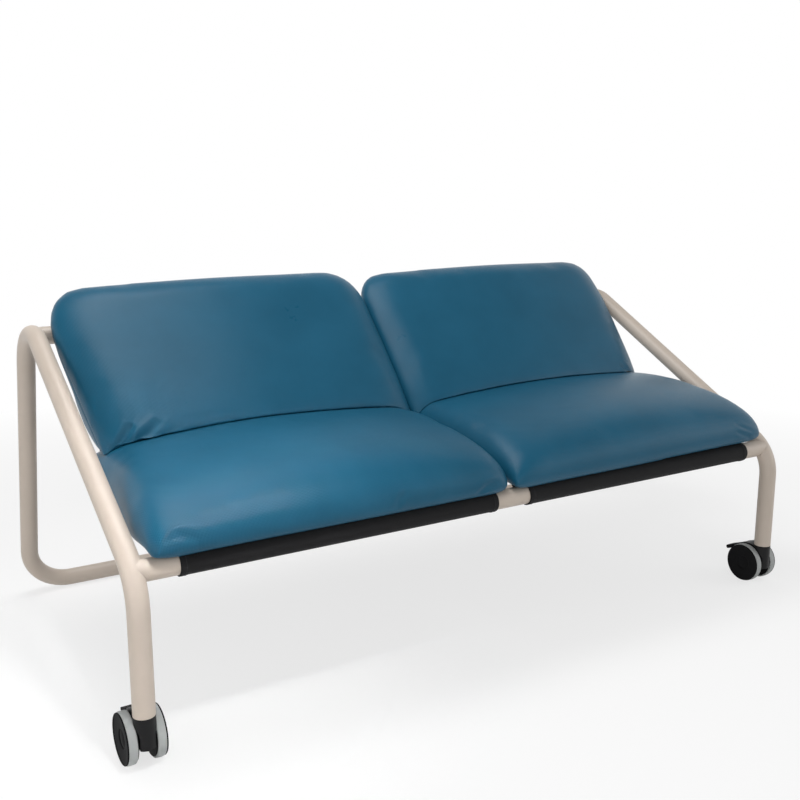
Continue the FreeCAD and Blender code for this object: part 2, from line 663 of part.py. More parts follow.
def brake_lever(side, x, at_pivot):
    """The brake lever: a bored boss on the pin and a tongue that stands out behind the wheels."""
    boss = cross_bar(side + "_boss", "sizes.brake_boss_radius", "sizes.brake_boss_width", *at_pivot)
    neck = block(side + "_neck", "sizes.brake_boss_width",
                 "sizes.brake_tongue_start + sizes.brake_boss_radius",
                 "sizes.brake_tongue_thickness", x, *at_pivot[1:])
    tongue = block(side + "_tongue", "sizes.brake_tongue_width",
                   "places.tongue_length - sizes.brake_tongue_start",
                   "sizes.brake_tongue_thickness", x, *at_pivot[1:])
    half = "sizes.brake_tongue_thickness / 2"
    tilt = FreeCAD.Rotation(X_AXIS, number("places.tongue_angle"))
    for plate, along in ((neck, "0"), (tongue, "sizes.brake_tongue_start")):
        plate.Placement = FreeCAD.Placement(FreeCAD.Vector(), tilt)
        bind(plate, Placement__Rotation__Angle="places.tongue_angle",
             Placement__Base__y="%s + cos(places.tongue_angle) * %s + sin(places.tongue_angle) * %s"
             % (at_pivot[1], along, half),
             Placement__Base__z="%s + sin(places.tongue_angle) * %s - cos(places.tongue_angle) * %s"
             % (at_pivot[2], along, half))
    tip = cross_bar(side + "_tip", "sizes.brake_tongue_thickness / 2", "sizes.brake_tongue_width",
                    x, "places.tongue_tip_y", "places.tongue_tip_z")
    bore = cross_bar(side + "_lever_bore", "sizes.brake_pin_diameter / 2 + sizes.brake_pin_clearance",
                     "2 * sizes.housing_width", *at_pivot)
    lever = fuse(side + "_lever_body", boss, neck, tongue, tip)
    keep(cut(side + "_lever", lever, bore), side + "_brake_lever")


def wheel(name, way, at_axle):
    """One wheel: its hub, its soft tread and its outer cap."""
    def out(expression):
        """A place along the axle, away from the housing."""
        return "%d * (%s)" % (way, expression)

    inner = out("places.wheel_inner_face")
    outer = out("places.wheel_outer_face")
    web = out("places.wheel_inner_face + sizes.hub_web_thickness")
    boss = out("places.boss_face")
    cap = out("places.cap_face")
    floor = out("places.cap_floor")
    floor_back = out("places.cap_floor - sizes.cap_thickness")
    dome = out("places.cap_floor + sizes.cap_dome_height")
    bore = "places.axle_radius + sizes.axle_clearance"
    rim = "places.hub_radius - sizes.hub_rim_thickness"
    recess = "sizes.cap_recess_radius"

    hub = turned(name + "_hub", [
        (inner, bore), (inner, "places.hub_radius"), (cap, "places.hub_radius"), (cap, rim), (web, rim),
        (web, "sizes.hub_boss_radius"), (boss, "sizes.hub_boss_radius"), (boss, bore)])
    tread = turned(name + "_tread", [
        (inner, "places.hub_radius"), (inner, "places.wheel_radius"), (outer, "places.wheel_radius"),
        (outer, "places.hub_radius")])
    rim_radius = number("places.wheel_radius")
    round_edges(tread, tread.Tip, name + "_tread_round", "sizes.tread_round",
                lambda edge: abs(edge.BoundBox.ZMax - rim_radius) < POINT_TOLERANCE
                and edge.BoundBox.XLength < POINT_TOLERANCE)
    cover = turned(name + "_cap", [
        (floor_back, "0"), (floor_back, recess + " + sizes.cap_thickness"),
        (cap, recess + " + sizes.cap_thickness"), (cap, "places.hub_radius"),
        (outer, "places.hub_radius"), (outer, recess), (floor, recess), (floor, "sizes.cap_dome_radius"),
        (dome, "sizes.cap_dome_radius - sizes.cap_dome_height"), (dome, "0")])
    for body, kind in ((hub, "hub"), (tread, "tread"), (cover, "cap")):
        keep(place(body, *at_axle), "%s_wheel_%s" % (name, kind))


def check_and_write():
    """Stop at any failed object, then write every sub-part to its own file."""
    doc.recompute()
    failed = [o.Name for o in doc.Objects if {"Invalid", "Error"} & set(o.State)]
    if failed:
        raise RuntimeError("failed objects: " + ", ".join(failed))
    for piece in sub_parts:
        if piece.Shape.isNull() or not piece.Shape.isValid():
            raise RuntimeError("bad shape: " + piece.Label)
    os.makedirs("parts", exist_ok=True)
    for piece in sub_parts:
        piece.Shape.exportStep("parts/%s.step" % piece.Label)


side_solids = [side_tube(side, sign) for side, sign in SIDES.items()]
rear_bow()
cross_rail("front_rail", "places.front_rail_y", "places.front_rail_z", side_solids)
cross_rail("top_rail", "places.top_rail_y", "places.top_rail_z", side_solids)
for side, sign in SIDES.items():
    joint_spigot(side, sign)
    glide(side, sign)
    sling(side, sign)
    seat_cushion(side, sign)
    back_cushion(side, sign)
    caster(side, sign)
check_and_write()
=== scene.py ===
"""Looks of the office sofa: painted tubes, sewn slings, stuffed cushions and braked casters.

Sizes that follow the drawing are in millimetres from the front legs: x from the middle, y from the axis
of the front legs to the back, z from the floor. Meshes are in metres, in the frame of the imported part.
"""
import sys

import json
import logging
import math
from dataclasses import dataclass, field
from enum import Enum
from typing import Any, Optional

import bmesh
import bpy
import numpy as np
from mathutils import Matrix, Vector
from mathutils.bvhtree import BVHTree


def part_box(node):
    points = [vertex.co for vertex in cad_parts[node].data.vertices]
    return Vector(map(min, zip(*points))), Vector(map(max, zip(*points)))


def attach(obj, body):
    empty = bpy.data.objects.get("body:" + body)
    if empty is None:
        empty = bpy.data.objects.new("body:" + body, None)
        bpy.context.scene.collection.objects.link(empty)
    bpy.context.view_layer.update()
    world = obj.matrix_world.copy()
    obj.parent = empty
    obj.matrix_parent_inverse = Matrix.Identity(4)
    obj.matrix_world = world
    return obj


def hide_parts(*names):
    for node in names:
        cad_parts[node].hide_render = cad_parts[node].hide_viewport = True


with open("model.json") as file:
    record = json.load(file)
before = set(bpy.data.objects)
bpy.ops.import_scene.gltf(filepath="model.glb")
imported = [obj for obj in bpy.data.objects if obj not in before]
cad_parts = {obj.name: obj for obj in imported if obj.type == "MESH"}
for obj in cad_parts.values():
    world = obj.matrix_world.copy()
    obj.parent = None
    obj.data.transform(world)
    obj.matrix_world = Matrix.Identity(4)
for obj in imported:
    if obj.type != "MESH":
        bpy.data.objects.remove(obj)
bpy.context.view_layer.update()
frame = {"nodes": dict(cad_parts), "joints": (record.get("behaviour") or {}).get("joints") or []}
LOG = logging.getLogger("office_sofa")

Colour = tuple[float, float, float]
Place = tuple[float, float, float]
Point = tuple[float, float]
MM = 0.001
WHITE = (1.0, 1.0, 1.0, 1.0)
WEAVE_MAP = "weave"
FRAME_BODY = "frame"


class Side(Enum):
    """A side of the sofa, seen by someone who faces it."""

    LEFT = "left"
    RIGHT = "right"

    @property
    def sign(self) -> int:
        """-1 on the left and +1 on the right."""
        return -1 if self is Side.LEFT else 1


class Slot(Enum):
    """The material slots of the record."""

    UPHOLSTERY = "upholstery"
    SLING = "sling_fabric"
    TREAD = "tread"
    CASTER = "caster_plastic"


def front_leg_y() -> float:
    """The front legs' axis in metres, from the left caster's swivel."""
    swivel = next(joint for joint in frame["joints"] if joint["name"] == "left_caster_swivel")
    return swivel["pos_m"][1]


LEG_AXIS = np.array([0.0, front_leg_y(), 0.0])


def to_part(points: np.ndarray) -> np.ndarray:
    """Millimetres from the front legs to metres in the part's frame."""
    return np.asarray(points, float) * MM + LEG_AXIS


def to_legs(points: np.ndarray) -> np.ndarray:
    """Metres in the part's frame to millimetres from the front legs."""
    return (np.asarray(points, float) - LEG_AXIS) / MM


# Meshes
def coordinates(mesh: bpy.types.Mesh) -> np.ndarray:
    """Every vertex of a mesh, one row each."""
    flat = np.empty(len(mesh.vertices) * 3, np.float32)
    mesh.vertices.foreach_get("co", flat)
    return flat.reshape(-1, 3).astype(float)


def set_coordinates(mesh: bpy.types.Mesh, points: np.ndarray) -> None:
    """Move every vertex of a mesh."""
    mesh.vertices.foreach_set("co", points.astype(np.float32).ravel())
    mesh.update()


def vertex_normals(mesh: bpy.types.Mesh) -> np.ndarray:
    """The normal at every vertex of a mesh, one row each."""
    flat = np.empty(len(mesh.vertices) * 3, np.float32)
    mesh.vertex_normals.foreach_get("vector", flat)
    return flat.reshape(-1, 3).astype(float)


def edge_ends(mesh: bpy.types.Mesh) -> np.ndarray:
    """The two vertices of every edge, one row each."""
    flat = np.empty(len(mesh.edges) * 2, np.int32)
    mesh.edges.foreach_get("vertices", flat)
    return flat.reshape(-1, 2)


def smoothed(points: np.ndarray, edges: np.ndarray, rounds: int, share: float = 0.5) -> np.ndarray:
    """Points drawn towards the mean of their neighbours.

    Args:
        points: one row for each vertex.
        edges: the two vertices of every edge.
        rounds: how often it is done.
        share: how far a point goes each time, from 0 to 1.

    Returns:
        The moved points.
    """
    count = np.bincount(edges.ravel(), minlength=len(points))[:, None]
    for _ in range(rounds):
        total = np.zeros_like(points)
        np.add.at(total, edges[:, 0], points[edges[:, 1]])
        np.add.at(total, edges[:, 1], points[edges[:, 0]])
        points = points + share * (total / count - points)
    return points


def mesh_of(name: str, points: np.ndarray, edges: list[tuple[int, int]], faces: list[Any]) -> bpy.types.Mesh:
    """A new mesh.

    Args:
        name: its name.
        points: one row for each vertex, in metres.
        edges: the two vertices of every loose edge.
        faces: the vertices of every face.

    Returns:
        The mesh.
    """
    made = bpy.data.meshes.new(name)
    made.from_pydata([tuple(point) for point in points], edges, [tuple(map(int, face)) for face in faces])
    return made


def turn_outwards(mesh: bpy.types.Mesh, merged: float = 0.0) -> bpy.types.Mesh:
    """The mesh, with vertices closer than a distance merged and every face pointing out, shaded smooth."""
    shape = bmesh.new()
    shape.from_mesh(mesh)
    if merged:
        bmesh.ops.remove_doubles(shape, verts=shape.verts, dist=merged)
    bmesh.ops.recalc_face_normals(shape, faces=shape.faces)
    shape.to_mesh(mesh)
    shape.free()
    return smooth_shaded(mesh)


def object_of(name: str, mesh: bpy.types.Mesh) -> bpy.types.Object:
    """A new object for a mesh, in the scene and at the origin."""
    made = bpy.data.objects.new(name, mesh)
    bpy.context.scene.collection.objects.link(made)
    return made


def smooth_shaded(mesh: bpy.types.Mesh) -> bpy.types.Mesh:
    """The mesh, with every face shaded smooth."""
    mesh.polygons.foreach_set("use_smooth", [True] * len(mesh.polygons))
    mesh.update()
    return mesh


def applied(obj: bpy.types.Object) -> None:
    """Turn an object and its modifiers into a plain mesh."""
    bpy.context.view_layer.update()
    graph = bpy.context.evaluated_depsgraph_get()
    result = bpy.data.meshes.new_from_object(obj.evaluated_get(graph))
    obj.modifiers.clear()
    old = obj.data
    obj.data = result
    bpy.data.meshes.remove(old)
    result.name = obj.name


def level_lines(mesh: bpy.types.Mesh, values: np.ndarray) -> bpy.types.Mesh:
    """The lines on a mesh along which a value that is given at its vertices is zero.

    Args:
        mesh: the surface.
        values: one number for each vertex.

    Returns:
        A mesh of edges alone.
    """
    points = coordinates(mesh)
    found: dict[tuple[int, int], int] = {}
    corners: list[np.ndarray] = []
    lines: list[tuple[int, int]] = []
    above = values > 0
    for polygon in mesh.polygons:
        ring = list(polygon.vertices)
        crossed = []
        for a, b in zip(ring, ring[1:] + ring[:1]):
            if above[a] == above[b]:
                continue
            key = (a, b) if a < b else (b, a)
            if key not in found:
                share = values[a] / (values[a] - values[b])
                found[key] = len(corners)
                corners.append(points[a] + share * (points[b] - points[a]))
            crossed.append(found[key])
        if len(crossed) == 2:
            lines.append((crossed[0], crossed[1]))
    return mesh_of("level_lines", np.array(corners), lines, [])


# Node trees
class NodeGraph:
    """A node tree that is being wired."""

    def __init__(self, tree: bpy.types.NodeTree) -> None:
        """Start from an existing tree, emptied."""
        self.tree = tree
        self.tree.nodes.clear()

    def add(self, kind: str, inputs: Optional[dict[Any, Any]] = None, **settings: Any) -> bpy.types.Node:
        """A new node.

        Args:
            kind: the node's type.
            inputs: values or sockets for its inputs, by name or place.
            settings: values for its own properties.

        Returns:
            The node.
        """
        node = self.tree.nodes.new(kind)
        for key, value in settings.items():
            setattr(node, key, value)
        for key, value in (inputs or {}).items():
            self.feed(node.inputs[key], value)
        return node

    def feed(self, socket: bpy.types.NodeSocket, value: Any) -> None:
        """Link an input to another node's output, or set it to a plain value."""
        if isinstance(value, bpy.types.NodeSocket):
            self.tree.links.new(value, socket)
        else:
            socket.default_value = value

    def math(self, operation: str, *values: Any) -> bpy.types.NodeSocket:
        """The result of a Math node on one to three values."""
        return self.add("ShaderNodeMath", dict(enumerate(values)), operation=operation).outputs[0]

    def ranged(self, value: Any, low: float, high: float, to_low: float,
               to_high: float) -> bpy.types.NodeSocket:
        """A value mapped from one range to another and held inside it."""
        inputs = {"Value": value, "From Min": low, "From Max": high, "To Min": to_low, "To Max": to_high}
        return self.add("ShaderNodeMapRange", inputs).outputs["Result"]

    def mixed(self, share: Any, first: Any, second: Any) -> bpy.types.NodeSocket:
        """A colour between two colours."""
        node = self.add("ShaderNodeMix", {"Factor": share}, data_type="RGBA")
        for socket, value in zip((node.inputs[6], node.inputs[7]), (first, second)):
            self.feed(socket, (*value, 1.0) if isinstance(value, tuple) and len(value) == 3 else value)
        return node.outputs[2]

    def group(self, tree: bpy.types.NodeTree, **inputs: Any) -> bpy.types.Node:
        """A shared group, with values for its named inputs."""
        node = self.tree.nodes.new("ShaderNodeGroup")
        node.node_tree = tree
        for key, value in inputs.items():
            self.feed(node.inputs[key], value)
        return node


class SurfaceEffects:
    """The shader node groups that the finishes share, each built once."""

    @staticmethod
    def _tree(name: str, inputs: dict[str, str], outputs: dict[str, str]) -> Optional[NodeGraph]:
        """A new group with its sockets, or nothing where it has been built already.

        Args:
            name: the group's name.
            inputs: its inputs, with the type of each.
            outputs: its outputs, with the type of each.

        Returns:
            The graph to wire, or None.
        """
        if name in bpy.data.node_groups:
            return None
        graph = NodeGraph(bpy.data.node_groups.new(name, "ShaderNodeTree"))
        for way, sockets in (("INPUT", inputs), ("OUTPUT", outputs)):
            for label, kind in sockets.items():
                graph.tree.interface.new_socket(name=label, in_out=way, socket_type=kind)
        return graph

    @classmethod
    def grain(cls) -> bpy.types.NodeTree:
        """Fine grain, and slow changes of shade over the piece."""
        name = "surface_grain"
        graph = cls._tree(name, {"Vector": "NodeSocketVector", "Scale": "NodeSocketFloat"},
                          {"Height": "NodeSocketFloat", "Mottle": "NodeSocketFloat"})
        if graph:
            given = graph.add("NodeGroupInput")
            fine = graph.add("ShaderNodeTexNoise", {"Vector": given.outputs["Vector"],
                             "Scale": given.outputs["Scale"], "Detail": 2.0, "Roughness": 0.55})
            slow = graph.add("ShaderNodeTexNoise", {"Vector": given.outputs["Vector"],
                             "Scale": 7.0, "Detail": 3.0, "Roughness": 0.6})
            graph.add("NodeGroupOutput", {"Height": fine.outputs["Fac"], "Mottle": slow.outputs["Fac"]})
        return bpy.data.node_groups[name]

    @classmethod
    def weave(cls) -> bpy.types.NodeTree:
        """Threads that cross on the slant, from a map in metres."""
        name = "crossed_weave"
        graph = cls._tree(name, {"Vector": "NodeSocketVector", "Pitch": "NodeSocketFloat"},
                          {"Height": "NodeSocketFloat"})
        if graph:
            given = graph.add("NodeGroupInput")
            parts = graph.add("ShaderNodeSeparateXYZ", {0: given.outputs["Vector"]})
            threads = []
            for operation in ("ADD", "SUBTRACT"):
                along = graph.math(operation, parts.outputs["X"], parts.outputs["Y"])
                turns = graph.math("DIVIDE", along, given.outputs["Pitch"])
                wave = graph.math("SINE", graph.math("MULTIPLY", turns, 2 * math.pi))
                threads.append(wave)
            over = graph.math("MULTIPLY", threads[0], threads[1])
            graph.add("NodeGroupOutput", {"Height": graph.ranged(over, -1.0, 1.0, 0.0, 1.0)})
        return bpy.data.node_groups[name]

    @classmethod
    def rubbing(cls) -> bpy.types.NodeTree:
        """A mask of faint scuffs, where hands and feet have touched the piece."""
        name = "handling_marks"
        graph = cls._tree(name, {"Vector": "NodeSocketVector", "Scale": "NodeSocketFloat"},
                          {"Mask": "NodeSocketFloat"})
        if graph:
            given = graph.add("NodeGroupInput")
            drawn = graph.add("ShaderNodeMapping", {"Vector": given.outputs["Vector"],
                              "Scale": (1.0, 0.35, 1.6)})
            marks = graph.add("ShaderNodeTexNoise", {"Vector": drawn.outputs["Vector"],
                              "Scale": given.outputs["Scale"], "Detail": 5.0, "Roughness": 0.7})
            graph.add("NodeGroupOutput", {"Mask": graph.ranged(marks.outputs["Fac"], 0.56, 0.74, 0.0, 1.0)})
        return bpy.data.node_groups[name]


# Finishes
@dataclass(frozen=True)
class Finish:
    """A procedural finish between a deep and a pale shade of one colour."""

    name: str
    deep: Colour
    pale: Colour
    roughness: float

    def material(self) -> bpy.types.Material:
        """The finish as a material, made on its first use."""
        found = bpy.data.materials.get(self.name)
        if found:
            return found
        made = bpy.data.materials.new(self.name)
        made.use_nodes = True
        made.diffuse_color = (*self.pale, 1.0)
        graph = NodeGraph(made.node_tree)
        shader = graph.add("ShaderNodeBsdfPrincipled")
        graph.add("ShaderNodeOutputMaterial", {"Surface": shader.outputs["BSDF"]})
        self.wire(graph, shader)
        return made

    def wire(self, graph: NodeGraph, shader: bpy.types.Node) -> None:
        """Wire the finish's own nodes to its shader."""
        raise NotImplementedError

    @staticmethod
    def place(graph: NodeGraph) -> bpy.types.NodeSocket:
        """The place on the piece, in metres."""
        return graph.add("ShaderNodeTexCoord").outputs["Object"]

    @staticmethod
    def bump(graph: NodeGraph, shader: bpy.types.Node, height: Any, strength: float, distance: float) -> None:
        """Raise the surface by a height."""
        inputs = {"Height": height, "Strength": strength, "Distance": distance}
        graph.feed(shader.inputs["Normal"], graph.add("ShaderNodeBump", inputs).outputs["Normal"])


@dataclass(frozen=True)
class PowderCoat(Finish):
    """Baked paint on tube, with a fine orange peel and faint rubbing."""

    peel_scale: float = 520.0

    def wire(self, graph: NodeGraph, shader: bpy.types.Node) -> None:
        """Wire the paint."""
        place = self.place(graph)
        grain = graph.group(SurfaceEffects.grain(), Vector=place, Scale=self.peel_scale)
        rubbed = graph.group(SurfaceEffects.rubbing(), Vector=place, Scale=26.0)
        shade = graph.ranged(grain.outputs["Mottle"], 0.3, 0.7, 0.0, 1.0)
        graph.feed(shader.inputs["Base Color"], graph.mixed(shade, self.deep, self.pale))
        polish = graph.ranged(rubbed.outputs["Mask"], 0.0, 1.0, self.roughness, self.roughness - 0.07)
        graph.feed(shader.inputs["Roughness"], polish)
        self.bump(graph, shader, grain.outputs["Height"], 0.12, 0.0004)


@dataclass(frozen=True)
class Leatherette(Finish):
    """Coated cloth with a fine embossed weave, painted shade in the weave's valleys, and a soft gloss."""

    pitch: float = 0.0046
    weave_depth: float = 0.0005

    def wire(self, graph: NodeGraph, shader: bpy.types.Node) -> None:
        """Wire the coated cloth."""
        place = self.place(graph)
        mapped = graph.add("ShaderNodeUVMap", uv_map=WEAVE_MAP).outputs["UV"]
        weave = graph.group(SurfaceEffects.weave(), Vector=mapped, Pitch=self.pitch)
        grain = graph.group(SurfaceEffects.grain(), Vector=place, Scale=420.0)
        rubbed = graph.group(SurfaceEffects.rubbing(), Vector=place, Scale=9.0)
        shade = graph.ranged(grain.outputs["Mottle"], 0.3, 0.7, 0.0, 1.0)
        # Base colour mixes a random tone with the weave's height: the weave's low places are darker, a
        # painted shade in the emboss valleys.
        lit = graph.math("MULTIPLY_ADD", weave.outputs["Height"], 0.3, graph.math("MULTIPLY", shade, 0.7))
        graph.feed(shader.inputs["Base Color"], graph.mixed(lit, self.deep, self.pale))
        worn = graph.ranged(rubbed.outputs["Mask"], 0.0, 1.0, self.roughness, self.roughness - 0.05)
        graph.feed(shader.inputs["Roughness"], worn)
        relief = graph.math("MULTIPLY_ADD", grain.outputs["Height"], 0.35, weave.outputs["Height"])
        self.bump(graph, shader, relief, 0.5, self.weave_depth)
        shader.inputs["Specular IOR Level"].default_value = 0.19


@dataclass(frozen=True)
class WebCloth(Finish):
    """Matt woven cloth, with painted shade between its threads."""

    pitch: float = 0.0016

    def wire(self, graph: NodeGraph, shader: bpy.types.Node) -> None:
        """Wire the cloth."""
        mapped = graph.add("ShaderNodeUVMap", uv_map=WEAVE_MAP).outputs["UV"]
        weave = graph.group(SurfaceEffects.weave(), Vector=mapped, Pitch=self.pitch)
        grain = graph.group(SurfaceEffects.grain(), Vector=self.place(graph), Scale=700.0)
        # Base colour follows the weave's height over a random tone: darker where the threads dip, a painted
        # shade between the threads.
        shade = graph.math("MULTIPLY_ADD", weave.outputs["Height"], 0.6,
                           graph.math("MULTIPLY", grain.outputs["Mottle"], 0.4))
        graph.feed(shader.inputs["Base Color"], graph.mixed(shade, self.deep, self.pale))
        graph.feed(shader.inputs["Roughness"],
                   graph.ranged(grain.outputs["Mottle"], 0.3, 0.7, self.roughness - 0.06, self.roughness))
        self.bump(graph, shader, weave.outputs["Height"], 0.6, 0.0003)
        shader.inputs["Specular IOR Level"].default_value = 0.2
        shader.inputs["Sheen Weight"].default_value = 0.03
        shader.inputs["Sheen Roughness"].default_value = 0.5


@dataclass(frozen=True)
class Thread(Finish):
    """Sewing thread with a fine twist."""

    def wire(self, graph: NodeGraph, shader: bpy.types.Node) -> None:
        """Wire the thread."""
        grain = graph.group(SurfaceEffects.grain(), Vector=self.place(graph), Scale=2600.0)
        graph.feed(shader.inputs["Base Color"], graph.mixed(grain.outputs["Height"], self.deep, self.pale))
        shader.inputs["Roughness"].default_value = self.roughness
        self.bump(graph, shader, grain.outputs["Height"], 0.3, 0.0002)


@dataclass(frozen=True)
class Moulding(Finish):
    """Moulded plastic or rubber with a spark-eroded grain and scuffs."""

    grain_scale: float = 900.0
    relief: float = 0.1
    scuffed: float = 0.12
    specular: float = 0.3

    def wire(self, graph: NodeGraph, shader: bpy.types.Node) -> None:
        """Wire the moulding."""
        place = self.place(graph)
        grain = graph.group(SurfaceEffects.grain(), Vector=place, Scale=self.grain_scale)
        rubbed = graph.group(SurfaceEffects.rubbing(), Vector=place, Scale=90.0)
        shade = graph.math("MULTIPLY_ADD", rubbed.outputs["Mask"], 0.4,
                           graph.math("MULTIPLY", grain.outputs["Mottle"], 0.6))
        graph.feed(shader.inputs["Base Color"], graph.mixed(shade, self.deep, self.pale))
        graph.feed(shader.inputs["Roughness"], graph.ranged(rubbed.outputs["Mask"], 0.0, 1.0,
                   self.roughness, self.roughness + self.scuffed))
        self.bump(graph, shader, grain.outputs["Height"], self.relief, 0.0003)
        shader.inputs["Specular IOR Level"].default_value = self.specular


@dataclass(frozen=True)
class TurnedSteel(Finish):
    """Bare steel with fine turning marks."""

    def wire(self, graph: NodeGraph, shader: bpy.types.Node) -> None:
        """Wire the steel."""
        place = self.place(graph)
        grain = graph.group(SurfaceEffects.grain(), Vector=place, Scale=1400.0)
        graph.feed(shader.inputs["Base Color"], graph.mixed(grain.outputs["Mottle"], self.deep, self.pale))
        graph.feed(shader.inputs["Roughness"], graph.ranged(grain.outputs["Height"], 0.3, 0.7,
                   self.roughness - 0.06, self.roughness + 0.06))
        shader.inputs["Metallic"].default_value = 1.0


BEIGE_PAINT = PowderCoat("warm_beige_powder_coat", (0.56, 0.48, 0.405), (0.605, 0.52, 0.445), 0.42)
BLUE_LEATHERETTE = Leatherette("blue_leatherette", (0.008, 0.084, 0.150), (0.013, 0.106, 0.186), 0.31)
BLACK_CLOTH = WebCloth("black_sling_cloth", (0.004, 0.004, 0.0045), (0.012, 0.012, 0.013), 0.8)
BLUE_THREAD = Thread("blue_seam_thread", (0.010, 0.075, 0.140), (0.020, 0.125, 0.215), 0.6)
BLACK_THREAD = Thread("black_sling_thread", (0.012, 0.012, 0.013), (0.04, 0.04, 0.042), 0.6)
GREY_TREAD = Moulding("soft_grey_tread", (0.40, 0.415, 0.41), (0.48, 0.495, 0.49), 0.6,
                      grain_scale=700.0, relief=0.15, scuffed=0.1, specular=0.2)
BLACK_NYLON = Moulding("black_moulded_nylon", (0.005, 0.005, 0.0055), (0.011, 0.011, 0.012), 0.42,
                       specular=0.2)
MATT_NYLON = Moulding("matt_black_nylon", (0.006, 0.006, 0.0065), (0.014, 0.014, 0.015), 0.62,
                      grain_scale=1100.0, specular=0.05)
BARE_STEEL = TurnedSteel("turned_steel", (0.48, 0.48, 0.49), (0.60, 0.60, 0.61), 0.3)


def dress(node: str, finish: Finish) -> None:
    """Give a carried-over CAD node its finish."""
    shown = frame["nodes"][node]
    shown.data.materials.clear()
    shown.data.materials.append(finish.material())


def finished_piece(piece: bpy.types.Object, finish: Finish,
                   body: str = FRAME_BODY) -> bpy.types.Object:
    """Give a piece its finish and the body that it moves with.

    Args:
        piece: a finished mesh at the origin.
        finish: its finish.
        body: the name of the body.

    Returns:
        The piece.
    """
    piece.data.materials.clear()
    piece.data.materials.append(finish.material())
    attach(piece, body)
    return piece


# Stitching
@dataclass
class Stitching:
    """Rows of stitches along drawn lines."""

    pitch: float = 0.0052
    length: float = 0.0038
    thickness: float = 0.0009

    @staticmethod
    def tree() -> bpy.types.NodeTree:
        """The node tree that sews a line, built on its first use."""
        name = "stitches_along_lines"
        if name in bpy.data.node_groups:
            return bpy.data.node_groups[name]
        graph = NodeGraph(bpy.data.node_groups.new(name, "GeometryNodeTree"))
        sockets = (("Lines", "NodeSocketGeometry"), ("Pitch", "NodeSocketFloat"),
                   ("Length", "NodeSocketFloat"), ("Thickness", "NodeSocketFloat"),
                   ("Thread", "NodeSocketMaterial"))
        for label, kind in sockets:
            graph.tree.interface.new_socket(name=label, in_out="INPUT", socket_type=kind)
        graph.tree.interface.new_socket(name="Stitches", in_out="OUTPUT", socket_type="NodeSocketGeometry")
        given = graph.add("NodeGroupInput")
        curve = graph.add("GeometryNodeMeshToCurve", {"Mesh": given.outputs["Lines"]})
        spaced = graph.add("GeometryNodeResampleCurve", {"Curve": curve.outputs[0],
                           "Length": given.outputs["Pitch"]}, mode="LENGTH")
        along = graph.add("FunctionNodeAlignRotationToVector",
                          {"Vector": graph.add("GeometryNodeInputTangent").outputs[0]}, axis="X")
        bead = graph.add("GeometryNodeMeshIcoSphere", {"Radius": 0.5, "Subdivisions": 1})
        size = graph.add("ShaderNodeCombineXYZ", {0: given.outputs["Length"], 1: given.outputs["Thickness"],
                         2: given.outputs["Thickness"]})
        stitch = graph.add("GeometryNodeTransform", {"Geometry": bead.outputs["Mesh"],
                           "Scale": size.outputs[0]})
        row = graph.add("GeometryNodeInstanceOnPoints", {"Points": spaced.outputs[0],
                        "Instance": stitch.outputs[0], "Rotation": along.outputs[0]})
        real = graph.add("GeometryNodeRealizeInstances", {0: row.outputs[0]})
        soft = graph.add("GeometryNodeSetShadeSmooth", {0: real.outputs[0]})
        dressed = graph.add("GeometryNodeSetMaterial", {"Geometry": soft.outputs[0],
                            "Material": given.outputs["Thread"]})
        graph.add("NodeGroupOutput", {0: dressed.outputs[0]})
        return graph.tree

    def sew(self, name: str, lines: bpy.types.Mesh, thread: Thread, slot: Slot) -> bpy.types.Object:
        """Sew along every line of a mesh of edges.

        Args:
            name: the name of the new piece.
            lines: the lines, in the part's frame.
            thread: the finish of the stitches.
            slot: the slot of the record; not used.

        Returns:
            The stitches as one plain mesh.
        """
        piece = object_of(name, lines)
        modifier = piece.modifiers.new("Stitches", "NODES")
        tree = self.tree()
        given = {"Pitch": self.pitch, "Length": self.length, "Thickness": self.thickness,
                 "Thread": thread.material()}
        for item in tree.interface.items_tree:
            if item.item_type == "SOCKET" and item.in_out == "INPUT" and item.name in given:
                given[item.identifier] = given.pop(item.name)
        modifier.node_group = tree
        for identifier, value in given.items():
            modifier[identifier] = value
        applied(piece)
        return finished_piece(piece, thread)


